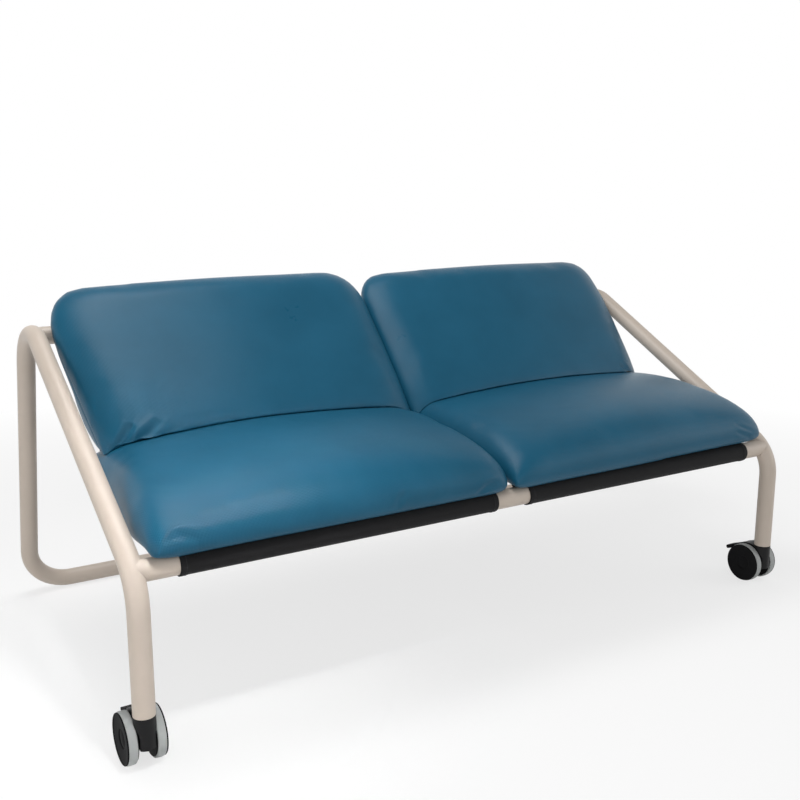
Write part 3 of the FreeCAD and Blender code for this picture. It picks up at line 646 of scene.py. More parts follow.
# Slings
@dataclass
class Sling:
    """A cloth seat: sewn round the front rail, down to the crease and up to a sleeve on the top rail."""

    side: Side
    front_rail: Point
    top_rail: Point
    inner_edge: float = 40.0
    outer_edge: float = 690.0
    seat_slope: float = 5.5
    back_slope: float = 62.0
    crease_radius: float = 90.0
    sleeve_radius: float = 20.1
    thickness: float = 1.8
    hem_width: float = 13.0
    hem_swell: float = 1.9
    edge_draw: float = 26.0
    edge_power: float = 6.0
    give: float = 2.2
    ripple: float = 0.5
    ripple_length: float = 41.0
    held_length: float = 190.0
    flap: float = 24.0
    lap_gap: float = 0.2
    tangent: float = 44.0
    step: float = 4.0
    arc_step: float = 2.5
    web_margin: float = 25.0
    web_columns: int = 23
    flap_seams: Point = (4.0, 19.0)
    seam_margin: float = 4.0
    seam_points: int = 14
    hem_inset: float = 3.0
    stitching: Stitching = field(default_factory=lambda: Stitching(0.0046, 0.0034, 0.0008))

    @property
    def name(self) -> str:
        """The piece's name."""
        return self.side.value + "_sling_cloth"

    def _corner(self) -> tuple[np.ndarray, np.ndarray, np.ndarray, np.ndarray, np.ndarray]:
        """Where the web leaves the rails, where its two runs would meet, and each run's direction."""
        seat = math.radians(-self.seat_slope)
        back = math.radians(self.back_slope)
        along_seat = np.array([math.cos(seat), math.sin(seat)])
        along_back = np.array([math.cos(back), math.sin(back)])
        start = np.array(self.front_rail) + self.sleeve_radius * np.array([-along_seat[1], along_seat[0]])
        end = np.array(self.top_rail) + self.sleeve_radius * np.array([-along_back[1], along_back[0]])
        reach = np.linalg.solve(np.column_stack([along_seat, -along_back]), end - start)
        return start, end, start + reach[0] * along_seat, along_seat, along_back

    def runs(self) -> list[tuple[np.ndarray, np.ndarray, np.ndarray, float]]:
        """Each rail's centre, where the web leaves it, the run's direction, and +1 if that leads inwards."""
        start, end, _, along_seat, along_back = self._corner()
        return [(np.array(self.front_rail), start, along_seat, 1.0),
                (np.array(self.top_rail), end, along_back, -1.0)]

    def _run(self, a: np.ndarray, b: np.ndarray) -> list[np.ndarray]:
        """Points along a straight run, without its end."""
        count = max(2, int(np.linalg.norm(b - a) / self.step))
        return [a + (b - a) * k / count for k in range(count)]

    def _arc(self, centre: np.ndarray, radius: float, first: float, last: float) -> list[np.ndarray]:
        """Points along an arc between two angles, without its end."""
        count = max(4, int(abs(last - first) * radius / self.arc_step))
        angles = [first + (last - first) * k / count for k in range(count)]
        return [centre + radius * np.array([math.cos(angle), math.sin(angle)]) for angle in angles]

    def _sleeve(self, rail: Point, join: np.ndarray, along: np.ndarray,
                inwards: np.ndarray) -> list[np.ndarray]:
        """The cloth from the end of its flap round a rail to where the web leaves it.

        Args:
            rail: the rail's centre.
            join: where the web leaves the rail.
            along: the direction in which the web leaves.
            inwards: the web's lower side, a unit vector.

        Returns:
            The points, from the flap's end to the web.
        """
        centre = np.array(rail)
        lap = self.thickness + self.lap_gap
        seam = join + along * self.tangent + inwards * lap
        tail = seam + along * self.flap
        side = seam - centre
        distance = float(np.linalg.norm(side))
        bearing = math.atan2(side[1], side[0])
        opening = math.acos(self.sleeve_radius / distance)
        first = join - centre
        web_angle = math.atan2(first[1], first[0])
        turn = 1.0 if np.cross(along, -inwards) > 0 else -1.0
        leave = bearing - turn * opening
        sweep = (web_angle - leave) * turn
        while sweep > 0:
            sweep -= 2 * math.pi
        while sweep < -2 * math.pi:
            sweep += 2 * math.pi
        begin = centre + self.sleeve_radius * np.array([math.cos(leave), math.sin(leave)])
        return (self._run(tail, seam) + self._run(seam, begin)
                + self._arc(centre, self.sleeve_radius, leave, leave + turn * sweep))

    def path(self) -> np.ndarray:
        """The middle of the cloth seen from the end, from one flap to the other."""
        start, end, corner, along_seat, along_back = self._corner()
        below_seat = np.array([along_seat[1], -along_seat[0]])
        behind_back = np.array([along_back[1], -along_back[0]])
        bend = math.radians(self.back_slope + self.seat_slope)
        cut = self.crease_radius * math.tan(bend / 2)
        low = corner - cut * along_seat
        high = corner + cut * along_back
        centre = low - self.crease_radius * below_seat
        first = math.atan2(*(low - centre)[::-1])
        points = self._sleeve(self.front_rail, start, along_seat, below_seat)
        points += self._run(start, low) + self._arc(centre, self.crease_radius, first, first + bend)
        points += self._run(high, end)
        points += [end] + self._sleeve(self.top_rail, end, -along_back, behind_back)[::-1]
        return np.array(points)

    def _columns(self) -> tuple[np.ndarray, np.ndarray]:
        """Places across the cloth from its inner edge, and how many times as thick it is at each."""
        width = self.outer_edge - self.inner_edge
        rim = [0.0, 0.5, 1.4, self.hem_width - 1.5, self.hem_width, self.hem_width + 1.5]
        swell = [0.45, 0.85 * self.hem_swell, self.hem_swell, self.hem_swell, 1.3, 1.0]
        margin = self.hem_width + self.web_margin
        middle = np.linspace(margin, width - margin, self.web_columns)
        across = np.concatenate([rim, middle, width - np.array(rim[::-1])])
        return across, np.concatenate([swell, np.ones(len(middle)), swell[::-1]])

    @staticmethod
    def _tangents(path: np.ndarray) -> np.ndarray:
        """Unit directions along the path."""
        ahead = np.gradient(path, axis=0)
        return ahead / np.linalg.norm(ahead, axis=1)[:, None]

    def _drawn_in(self, path: np.ndarray, across: np.ndarray) -> np.ndarray:
        """How far the web gives under the cushions, at each column and each point of the path."""
        width = self.outer_edge - self.inner_edge
        slack = np.sin(np.pi * across / width) ** 0.7
        ripple = self.ripple * np.sin(across / self.ripple_length + 1.3 * self.side.sign)
        return np.outer(slack * self.give + ripple, self._slack_share(path))

    def _out_from_middle(self, path: np.ndarray, place: float) -> np.ndarray:
        """Where a column lies at each point of the path: the outer edge is drawn in where it is free."""
        share = (place / (self.outer_edge - self.inner_edge)) ** self.edge_power
        return self.side.sign * (self.inner_edge + place - self.edge_draw * share * self._slack_share(path))

    def _slack_share(self, path: np.ndarray) -> np.ndarray:
        """How free the web is at each point of the path: 0 on the rails and 1 half way between them."""
        run = np.concatenate([[0.0], np.cumsum(np.linalg.norm(np.diff(path, axis=0), axis=1))])
        free = (run - self.held_length) / (run[-1] - 2 * self.held_length)
        return np.sin(np.pi * np.clip(free, 0.0, 1.0)) ** 2

    def build(self) -> list[bpy.types.Object]:
        """Make the cloth and its stitches.

        Returns:
            The cloth, then the stitches.
        """
        path = self.path()
        ahead = self._tangents(path)
        normal = np.column_stack([ahead[:, 1], -ahead[:, 0]])
        across, swell = self._columns()
        give = self._drawn_in(path, across)
        half = self.thickness / 2
        rows = len(path)
        grid = np.empty((len(across), 2 * rows, 3))
        for column, (place, thick) in enumerate(zip(across, swell)):
            mid = path + normal * give[column][:, None]
            ring = np.concatenate([mid + normal * half * thick, (mid - normal * half * thick)[::-1]])
            x = self._out_from_middle(path, place)
            grid[column] = np.column_stack([np.concatenate([x, x[::-1]]), ring])
        piece = object_of(self.name, self._skin(grid))
        self._map(piece.data, grid, path)
        finished_piece(piece, BLACK_CLOTH)
        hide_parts(self.side.value + "_sling")
        stitches = self.stitching.sew(self.side.value + "_sling_stitches", self._rows(path, normal),
                                      BLACK_THREAD, Slot.SLING)
        return [piece, stitches]

    def _skin(self, grid: np.ndarray) -> bpy.types.Mesh:
        """A closed mesh over columns of rings, with both ends shut."""
        columns, around = grid.shape[:2]
        index = np.arange(columns * around).reshape(columns, around)
        faces = []
        for here, there in zip(index, index[1:]):
            for k in range(around):
                after = (k + 1) % around
                faces.append((here[k], here[after], there[after], there[k]))
        for end in (index[0], index[-1]):
            for k in range(around // 2 - 1):
                faces.append((end[k], end[k + 1], end[around - 2 - k], end[around - 1 - k]))
        return turn_outwards(mesh_of(self.name, to_part(grid.reshape(-1, 3)), [], faces))

    @staticmethod
    def _map(mesh: bpy.types.Mesh, grid: np.ndarray, path: np.ndarray) -> None:
        """Lay the weave along the cloth, in metres across and along it."""
        run = np.concatenate([[0.0], np.cumsum(np.linalg.norm(np.diff(path, axis=0), axis=1))]) * MM
        along = np.tile(np.concatenate([run, run[::-1]]), grid.shape[0])
        across = grid[..., 0].ravel() * MM
        loops = np.empty(len(mesh.loops), np.int32)
        mesh.loops.foreach_get("vertex_index", loops)
        layer = mesh.uv_layers.new(name=WEAVE_MAP)
        layer.data.foreach_set("uv", np.column_stack([across, along])[loops].astype(np.float32).ravel())

    def _rows(self, path: np.ndarray, normal: np.ndarray) -> bpy.types.Mesh:
        """Lines for the stitches: two across each sleeve's flap and one along each hem."""
        start, end, _, along_seat, along_back = self._corner()
        points: list[tuple[float, float, float]] = []
        edges: list[tuple[int, int]] = []

        def draw(line: list[tuple[float, float, float]]) -> None:
            """Add one line."""
            first = len(points)
            points.extend(line)
            edges.extend((first + k, first + k + 1) for k in range(len(line) - 1))

        sign = self.side.sign
        ends = (sign * (self.inner_edge + self.seam_margin), sign * (self.outer_edge - self.seam_margin))
        half = self.thickness / 2
        for join, along in ((start, along_seat), (end, -along_back)):
            up = np.array([-along[1], along[0]]) * (1 if along is along_seat else -1)
            for seam in self.flap_seams:
                for lift in (half, -half - self.thickness - self.lap_gap):
                    y, z = join + along * (self.tangent + seam) + up * lift
                    draw([(x, y, z) for x in np.linspace(*ends, self.seam_points)])
        lift = half * self.hem_swell
        inside = slice(8, -8)
        hem = self.hem_width - self.hem_inset
        for place in (hem, self.outer_edge - self.inner_edge - hem):
            across = self._out_from_middle(path, place)[inside]
            for face in (1.0, -1.0):
                line = (path + normal * lift * face)[inside]
                draw([(x, y, z) for x, (y, z) in zip(across, line)])
        return mesh_of("sling_rows", to_part(np.array(points)), edges, [])


# Cushions
@dataclass(frozen=True)
class EndShape:
    """How one end of a cushion is drawn in, in millimetres.

    The two radii round the end's corners, over and under are how far in the upper and the lower face start
    to close, fall is how much lower the upper face is at the end, and the taper draws the end further in.
    """

    low_radius: float
    high_radius: float
    over: float
    under: float
    fall: float
    taper_at: Point = (-1.0, 1.0)
    taper_by: Point = (0.0, 0.0)

    def inset(self, v: np.ndarray, low: float, high: float) -> np.ndarray:
        """How far the end is drawn in at each place along the profile.

        Args:
            v: places along the profile.
            low: the place at which the low corner ends.
            high: the place at which the high corner ends.

        Returns:
            The inset at each place.
        """
        up = np.clip((v - (high - self.high_radius)) / self.high_radius, 0.0, 1.0)
        down = np.clip(((low + self.low_radius) - v) / self.low_radius, 0.0, 1.0)
        high_corner = self.high_radius * (1 - np.sqrt(1 - up ** 2))
        low_corner = self.low_radius * (1 - np.sqrt(1 - down ** 2))
        return high_corner + low_corner + np.interp(v, self.taper_at, self.taper_by)


@dataclass(frozen=True)
class PillowForm:
    """A cushion before it is stuffed: a profile seen from the end, swept across and drawn in at both ends."""

    profile: tuple[Point, ...]
    tilt: float
    anchor: Point
    span: Point
    spare: float
    end_line: tuple[float, ...]
    left: EndShape
    right: EndShape
    lift: Point = (0.0, 0.0)
    end_power: float = 2.2
    fall_power: float = 1.8
    seam_back: float = 22.0
    steps: int = 24
    around: int = 160
    rings: int = 81

    def axes(self) -> tuple[np.ndarray, np.ndarray]:
        """The profile's own directions: along its tilt, and out of its upper face."""
        angle = math.radians(self.tilt)
        return np.array([math.cos(angle), math.sin(angle)]), np.array([-math.sin(angle), math.cos(angle)])

    def outline(self, count: int) -> np.ndarray:
        """The profile as a closed curve of evenly spaced points, each stretch a cubic through four points."""
        p = np.asarray(self.profile, float)
        fine: list[np.ndarray] = []
        for i in range(len(p)):
            four = [p[i - 1], p[i], p[(i + 1) % len(p)], p[(i + 2) % len(p)]]
            knots = [0.0]
            for a, b in zip(four, four[1:]):
                knots.append(knots[-1] + float(np.linalg.norm(b - a)) ** 0.5)
            for t in np.linspace(knots[1], knots[2], self.steps, endpoint=False):
                level = four
                for order in (1, 2, 3):
                    spans = [(knots[k], knots[k + order]) for k in range(len(level) - 1)]
                    level = [((last - t) * a + (t - first) * b) / (last - first)
                             for (first, last), a, b in zip(spans, level, level[1:])]
                fine.append(level[0])
        closed = np.array(fine + [fine[0]])
        run = np.concatenate([[0.0], np.cumsum(np.linalg.norm(np.diff(closed, axis=0), axis=1))])
        at = np.linspace(0.0, run[-1], count, endpoint=False)
        return np.column_stack([np.interp(at, run, closed[:, k]) for k in range(2)])

    def local(self, yz: np.ndarray) -> tuple[np.ndarray, np.ndarray]:
        """Places along and across the profile's own directions."""
        along, out = self.axes()
        offset = yz - np.array(self.anchor)
        return offset @ along, offset @ out

    def end_height(self, v: np.ndarray) -> np.ndarray:
        """The height of the line at which the upper and the lower face meet."""
        ends, _ = self.local(self.outline(self.around))
        return np.interp(v, np.linspace(ends.min(), ends.max(), len(self.end_line)), self.end_line)

    def lift_at(self, share: Any) -> Any:
        """How far the cushion is lifted at a share of its width."""
        return self.lift[0] + (self.lift[1] - self.lift[0]) * share

    def grid(self) -> np.ndarray:
        """The surface in millimetres, as rings of points across the cushion.

        Returns:
            An array of rings, points and coordinates.
        """
        along, out = self.axes()
        v, w = self.local(self.outline(self.around))
        half = (self.span[1] - self.span[0]) / 2
        middle = (self.span[1] + self.span[0]) / 2
        low, high = v.min() - self.spare, v.max() + self.spare
        line = self.end_height(v)
        rise = np.clip((w - line) / (w - line).max(), 0.0, 1.0)
        surface = np.empty((self.rings, self.around, 3))
        for ring, k in enumerate(np.sin(np.linspace(-math.pi / 2, math.pi / 2, self.rings))):
            end = self.left if k < 0 else self.right
            reach = half - end.inset(v, low, high)
            radius = np.where(w > line, end.over, end.under)
            near = np.clip(1 - (1 - abs(k)) * reach / radius, 0.0, 1.0)
            swell = (1 - near ** self.end_power) ** (1 / self.end_power)
            height = line + (w - line - end.fall * abs(k) ** self.fall_power * rise) * swell
            yz = np.array(self.anchor) + v[:, None] * along + height[:, None] * out
            yz[:, 1] += self.lift_at((k + 1) / 2)
            surface[ring] = np.column_stack([middle + k * reach, yz])
        return surface


@dataclass(frozen=True)
class Fold:
    """A soft fold in a cover, along a line of points in millimetres."""

    points: tuple[Place, ...]
    width: float
    depth: float
    ease_power: float = 0.6
    ridge_share: float = 0.45
    ridge_at: float = 1.9

    def laid_on(self, surface: BVHTree) -> np.ndarray:
        """The fold's points, brought onto a cushion."""
        places = to_part(np.array(self.points))
        return to_legs(np.array([surface.find_nearest(Vector(place))[0] for place in places]))

    def depth_at(self, places: np.ndarray, line: np.ndarray) -> np.ndarray:
        """How far the cover goes in.

        Args:
            places: the cover's points.
            line: the fold's points on the cover.

        Returns:
            The depth at each place.
        """
        lengths = np.linalg.norm(np.diff(line, axis=0), axis=1)
        run = np.concatenate([[0.0], np.cumsum(lengths)])
        nearest = np.full(len(places), np.inf)
        share = np.zeros(len(places))
        for a, b, length, before in zip(line, line[1:], lengths, run):
            t = np.clip(((places - a) @ (b - a)) / length ** 2, 0.0, 1.0)
            away = np.linalg.norm(places - a - t[:, None] * (b - a), axis=1)
            closer = away < nearest
            nearest[closer] = away[closer]
            share[closer] = ((before + t * length) / run[-1])[closer]
        ease = np.sin(np.pi * np.clip(share, 0.0, 1.0)) ** self.ease_power
        valley = np.exp(-(nearest / self.width) ** 2)
        ridge = self.ridge_share * np.exp(-((nearest - self.ridge_at * self.width) / self.width) ** 2)
        return self.depth * ease * (valley - ridge)


@dataclass
class Cushion:
    """A stuffed cushion in a sewn cover, on one side of the line at which it parts from its neighbour."""

    kind: str
    form: PillowForm
    sling: Sling
    parting: float
    folds: tuple[Fold, ...] = ()
    fill: float = 0.7
    voxel: float = 0.008
    even_rounds: int = 4
    soft_rounds: int = 8
    slack: float = 5.0
    swell: float = 14.0
    give: float = 0.4
    pressure: float = 3.5
    frames: int = 20
    seam_depth: float = 2.4
    seam_width: float = 4.0
    stitch_offset: float = 7.0
    web_gap: float = 0.4
    middle_gap: float = 0.8
    rest_gap: float = 0.2
    rest_below: float = 500.0
    stitching: Stitching = field(default_factory=Stitching)

    @property
    def stem(self) -> str:
        """How the names of the cushion's pieces and of its CAD nodes begin."""
        return "%s_%s" % (self.sling.side.value, self.kind)

    @property
    def name(self) -> str:
        """The piece's name."""
        return self.stem + "_cushion"

    def build(self, under: Optional[bpy.types.Object] = None) -> list[bpy.types.Object]:
        """Make the cushion and its stitches.

        Args:
            under: the cushion that it stands on, if any.

        Returns:
            The cushion, then the stitches.
        """
        piece = self._remeshed()
        self._inflate(piece)
        self._settle(piece, under)
        mesh = piece.data
        set_coordinates(mesh, smoothed(coordinates(mesh), edge_ends(mesh), self.soft_rounds))
        finer = piece.modifiers.new("Finer", "SUBSURF")
        finer.levels = 1
        finer.render_levels = 1
        applied(piece)
        self._settle(piece, under)
        self._crease(piece.data)
        smooth_shaded(piece.data)
        self._map(piece.data)
        finished_piece(piece, BLUE_LEATHERETTE)
        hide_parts(self.stem + "_cover", self.stem + "_foam")
        return [piece, self._stitches(piece)]

    def _remeshed(self) -> bpy.types.Object:
        """The unstuffed form as an even mesh, a little small."""
        grid = self.form.grid()
        rings, around = grid.shape[:2]
        index = np.arange(rings * around).reshape(rings, around)
        faces = [(index[r, k], index[r, (k + 1) % around], index[r + 1, (k + 1) % around], index[r + 1, k])
                 for r in range(rings - 1) for k in range(around)]
        faces += [index[0][::-1], index[-1]]
        piece = object_of(self.name, mesh_of(self.name, to_part(grid.reshape(-1, 3)), [], faces))
        even = piece.modifiers.new("Even", "REMESH")
        even.mode = "VOXEL"
        even.voxel_size = self.voxel
        applied(piece)
        mesh = piece.data
        points = smoothed(coordinates(mesh), edge_ends(mesh), self.even_rounds)
        set_coordinates(mesh, points)
        set_coordinates(mesh, points - vertex_normals(mesh) * self.slack * MM)
        return piece

    def _inflate(self, piece: bpy.types.Object) -> None:
        """Blow the cover up as cloth, then bring it back to its size with part of the movement kept."""
        mesh = piece.data
        start = coordinates(mesh)
        normals = vertex_normals(mesh)
        cloth = piece.modifiers.new("Stuffing", "CLOTH")
        cloth.point_cache.frame_start = 1
        cloth.point_cache.frame_end = self.frames
        stuffed = cloth.settings
        stuffed.quality = 5
        stuffed.mass = 0.3
        stuffed.tension_stiffness = 12.0
        stuffed.compression_stiffness = 8.0
        stuffed.shear_stiffness = 4.0
        stuffed.bending_stiffness = 0.6
        stuffed.use_pressure = True
        stuffed.uniform_pressure_force = self.pressure
        stuffed.effector_weights.gravity = 0.0
        for number in range(1, self.frames + 1):
            bpy.context.scene.frame_set(number)
        applied(piece)
        bpy.context.scene.frame_set(1)
        moved = coordinates(piece.data) - start
        far = np.linalg.norm(moved, axis=1)
        moved *= np.minimum(1.0, self.swell * MM / np.maximum(far, 1e-9))[:, None]
        LOG.info("%s: swelled by %.1f mm", self.name, float((moved * normals).sum(1).mean()) / MM)
        whole = start + normals * self.slack * MM
        set_coordinates(piece.data, self._fitted(start + self.give * moved, whole))

    def _fitted(self, points: np.ndarray, whole: np.ndarray) -> np.ndarray:
        """Points stretched along the cushion's own directions until they reach as far as others do.

        Args:
            points: the points to stretch.
            whole: the points that show the reach.

        Returns:
            The stretched points.
        """
        basis = self._basis()
        local, wanted = points @ basis.T, whole @ basis.T
        low, high = local.min(0), local.max(0)
        share = (local - low) / (high - low)
        return (wanted.min(0) + share * (wanted.max(0) - wanted.min(0))) @ basis

    def _basis(self) -> np.ndarray:
        """The cushion's own directions: across, along its profile, and out of its upper face."""
        along, out = self.form.axes()
        return np.array([[1.0, 0.0, 0.0], [0.0, *along], [0.0, *out]])

    def _settle(self, piece: bpy.types.Object, under: Optional[bpy.types.Object]) -> None:
        """Flatten the cushion where it lies on its sling, on its neighbour and on the cushion under it."""
        mesh = piece.data
        places = to_legs(coordinates(mesh))
        clear = self.sling.thickness / 2 + self.web_gap
        for rail, join, along, inwards in self.sling.runs():
            out = np.array([-along[1], along[0]])
            offset = places[:, 1:] - join
            depth = np.where(inwards * (offset @ along) > 0, offset @ out - clear, 0.0)
            places[:, 1:] -= np.minimum(depth, 0.0)[:, None] * out
            away = places[:, 1:] - rail
            distance = np.linalg.norm(away, axis=1)[:, None]
            places[:, 1:] += away / distance * np.maximum(self.sling.sleeve_radius + clear - distance, 0.0)
        if self.sling.side is Side.LEFT:
            places[:, 0] = np.minimum(places[:, 0], self.parting - self.middle_gap)
        else:
            places[:, 0] = np.maximum(places[:, 0], self.parting + self.middle_gap)
        if under is not None:
            self._rest(places, under)
        set_coordinates(mesh, to_part(places))

    def _rest(self, places: np.ndarray, under: bpy.types.Object) -> None:
        """Draw the places that would sink into the cushion underneath up along the cushion."""
        along, _ = self.form.axes()
        tree = BVHTree.FromObject(under, bpy.context.evaluated_depsgraph_get())
        part = to_part(places)
        down = Vector((0.0, 0.0, -1.0))
        for k in np.flatnonzero(places[:, 2] < self.rest_below):
            x, y, z = part[k]
            hit = tree.ray_cast(Vector((x, y, 1.0)), down)[0]
            if hit is not None and z < hit.z + self.rest_gap * MM:
                places[k, 1:] += along / along[1] * ((hit.z - z) / MM + self.rest_gap)

    def _above_seam(self, places: np.ndarray) -> np.ndarray:
        """How far each place is above the seam that joins the upper and the lower panel."""
        form = self.form
        v, w = form.local(places[:, 1:])
        across = np.clip((places[:, 0] - form.span[0]) / (form.span[1] - form.span[0]), 0.0, 1.0)
        return w - form.end_height(v) - form.lift_at(across) + form.seam_back

    def _crease(self, mesh: bpy.types.Mesh) -> None:
        """Draw the seam and the folds into the cover."""
        points = coordinates(mesh)
        places = to_legs(points)
        depth = self.seam_depth * np.exp(-(self._above_seam(places) / self.seam_width) ** 2)
        faces = [tuple(face.vertices) for face in mesh.polygons]
        surface = BVHTree.FromPolygons([tuple(point) for point in points], faces)
        for fold in self.folds:
            depth += fold.depth_at(places, fold.laid_on(surface))
        set_coordinates(mesh, points - vertex_normals(mesh) * depth[:, None] * MM)

    def _map(self, mesh: bpy.types.Mesh) -> None:
        """Lay the weave over each face of the cushion, in metres."""
        basis = self._basis()
        points = coordinates(mesh) @ basis.T
        faces = np.empty(len(mesh.polygons) * 3, np.float32)
        mesh.polygons.foreach_get("normal", faces)
        facing = np.abs(faces.reshape(-1, 3) @ basis.T).argmax(1)
        totals = np.empty(len(mesh.polygons), np.int32)
        mesh.polygons.foreach_get("loop_total", totals)
        loops = np.empty(len(mesh.loops), np.int32)
        mesh.loops.foreach_get("vertex_index", loops)
        axis = np.repeat(facing, totals)
        first = np.where(axis == 0, 1, 0)
        second = np.where(axis == 2, 1, 2)
        rows = np.arange(len(loops))
        corners = points[loops]
        flat = np.column_stack([corners[rows, first], corners[rows, second]])
        mesh.uv_layers.new(name=WEAVE_MAP).data.foreach_set("uv", flat.astype(np.float32).ravel())

    def _stitches(self, piece: bpy.types.Object) -> bpy.types.Object:
        """A row of stitches beside the seam."""
        height = self._above_seam(to_legs(coordinates(piece.data))) - self.stitch_offset
        return self.stitching.sew(self.name + "_stitches", level_lines(piece.data, height), BLUE_THREAD,
                                  Slot.UPHOLSTERY)


# Frame and casters, whose shapes come from the drawing
@dataclass
class TubeFrame:
    """The bent tubes, the cross rails and the floor glides."""

    painted: tuple[str, ...] = ("front_rail", "top_rail", "rear_bow", "left_side_tube", "right_side_tube")
    steel: tuple[str, ...] = ("left_joint_spigot", "right_joint_spigot")
    glides: tuple[str, ...] = ("left_glide", "right_glide")

    def build(self) -> None:
        """Dress every node of the frame."""
        dressed = ((self.painted, BEIGE_PAINT), (self.steel, BARE_STEEL), (self.glides, BLACK_NYLON))
        for nodes, finish in dressed:
            for node in nodes:
                dress(node, finish)


@dataclass
class Wheel:
    """A caster wheel: a crowned soft tread and a dished cap, turned over the drawn hub.

    The profiles are closed. Each point is a place along the axis from the wheel's outer face, and a radius.
    """

    name: str
    swivel_x: float
    steps: int = 112
    merged: float = 1e-6
    tread: tuple[Point, ...] = (
        (-2.5, 41.05), (-2.5, 43.0), (-2.6, 43.6), (-3.0, 44.2), (-3.8, 44.6), (-5.2, 44.85), (-7.6, 45.0),
        (-12.4, 45.0), (-14.8, 44.85), (-16.2, 44.6), (-17.0, 44.2), (-17.4, 43.6), (-17.5, 43.0),
        (-17.5, 41.05))
    cap: tuple[Point, ...] = (
        (-2.85, 0.0), (-2.95, 3.0), (-3.3, 7.0), (-4.0, 11.0), (-4.5, 13.0), (-4.75, 14.5), (-4.8, 15.6),
        (-4.6, 16.3), (-4.0, 16.9), (-3.4, 17.4), (-3.1, 18.0), (-2.95, 19.0), (-2.4, 26.0), (-1.75, 34.0),
        (-1.25, 39.8), (-1.1, 40.6), (-0.7, 41.1), (-0.25, 41.5), (-0.05, 42.0), (0.0, 42.6), (-0.1, 43.2),
        (-0.4, 43.6), (-0.9, 43.8), (-1.6, 43.85), (-2.3, 43.7), (-2.4, 43.2), (-2.4, 36.2), (-3.4, 35.4),
        (-5.2, 19.0), (-6.3, 17.0), (-6.3, 0.0))

    def build(self) -> list[bpy.types.Object]:
        """Turn the tread and the cap, and dress the hub.

        Returns:
            The tread, then the cap.
        """
        dress(self.name + "_hub", MATT_NYLON)
        return [self._turned("tread", self.tread, GREY_TREAD),
                self._turned("cap", self.cap, MATT_NYLON)]

    def _turned(self, part: str, profile: tuple[Point, ...], finish: Finish) -> bpy.types.Object:
        """A piece turned about the wheel's axis.

        Args:
            part: the name of the part that it stands for.
            profile: its closed profile.
            finish: its finish.

        Returns:
            The piece.
        """
        low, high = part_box(self.name + "_tread")
        middle = (low + high) / 2
        outwards = 1.0 if middle.x > self.swivel_x else -1.0
        face = high.x if outwards > 0 else low.x
        along, radius = np.array(profile).T * MM
        angles = np.linspace(0.0, 2 * math.pi, self.steps, endpoint=False)
        rings = [np.column_stack([face + outwards * along, middle.y + radius * math.cos(angle),
                                  middle.z + radius * math.sin(angle)]) for angle in angles]
        count = len(profile)
        faces = []
        for step in range(self.steps):
            here, there = step * count, (step + 1) % self.steps * count
            for k in range(count):
                after = (k + 1) % count
                faces.append((here + k, here + after, there + after, there + k))
        name = "%s_turned_%s" % (self.name, part)
        mesh = turn_outwards(mesh_of(name, np.concatenate(rings), [], faces), self.merged)
        piece = finished_piece(object_of(name, mesh), finish, self.name)
        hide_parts("%s_%s" % (self.name, part))
        return piece


@dataclass
class Caster:
    """A twin-wheel caster with its brake."""

    side: Side
    nylon: tuple[str, ...] = ("caster_socket", "caster_housing")
    matt: tuple[str, ...] = ("brake_lever",)
    steel: tuple[str, ...] = ("caster_stem", "caster_axle", "axle_clips", "brake_pin")
    wheels: tuple[str, ...] = ("outer_wheel", "inner_wheel")

    def build(self) -> list[bpy.types.Object]:
        """Dress the drawn nodes and turn the wheels.

        Returns:
            The pieces of both wheels.
        """
        dressed = ((self.nylon, BLACK_NYLON), (self.matt, MATT_NYLON), (self.steel, BARE_STEEL))
        for nodes, finish in dressed:
            for node in nodes:
                dress("%s_%s" % (self.side.value, node), finish)
        low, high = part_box(self.side.value + "_caster_stem")
        made = []
        for wheel in self.wheels:
            made += Wheel("%s_%s" % (self.side.value, wheel), float(low.x + high.x) / 2).build()
        return made


# Studio
@dataclass(frozen=True)
class Lamp:
    """A square soft lamp: where it hangs, what it faces, its sides in metres, watts and beam in degrees."""

    name: str
    place: Place
    target: Place
    size: float
    power: float
    spread: float = 180.0

    def hang(self) -> None:
        """Hang the lamp in the scene."""
        data = bpy.data.lights.new(self.name, "AREA")
        data.size = self.size
        data.energy = self.power
        data.spread = math.radians(self.spread)
        lamp = bpy.data.objects.new(self.name, data)
        lamp.location = self.place
        lamp.rotation_mode = "QUATERNION"
        lamp.rotation_quaternion = (Vector(self.target) - Vector(self.place)).to_track_quat("-Z", "Y")
        lamp.visible_camera = False
        bpy.context.scene.collection.objects.link(lamp)


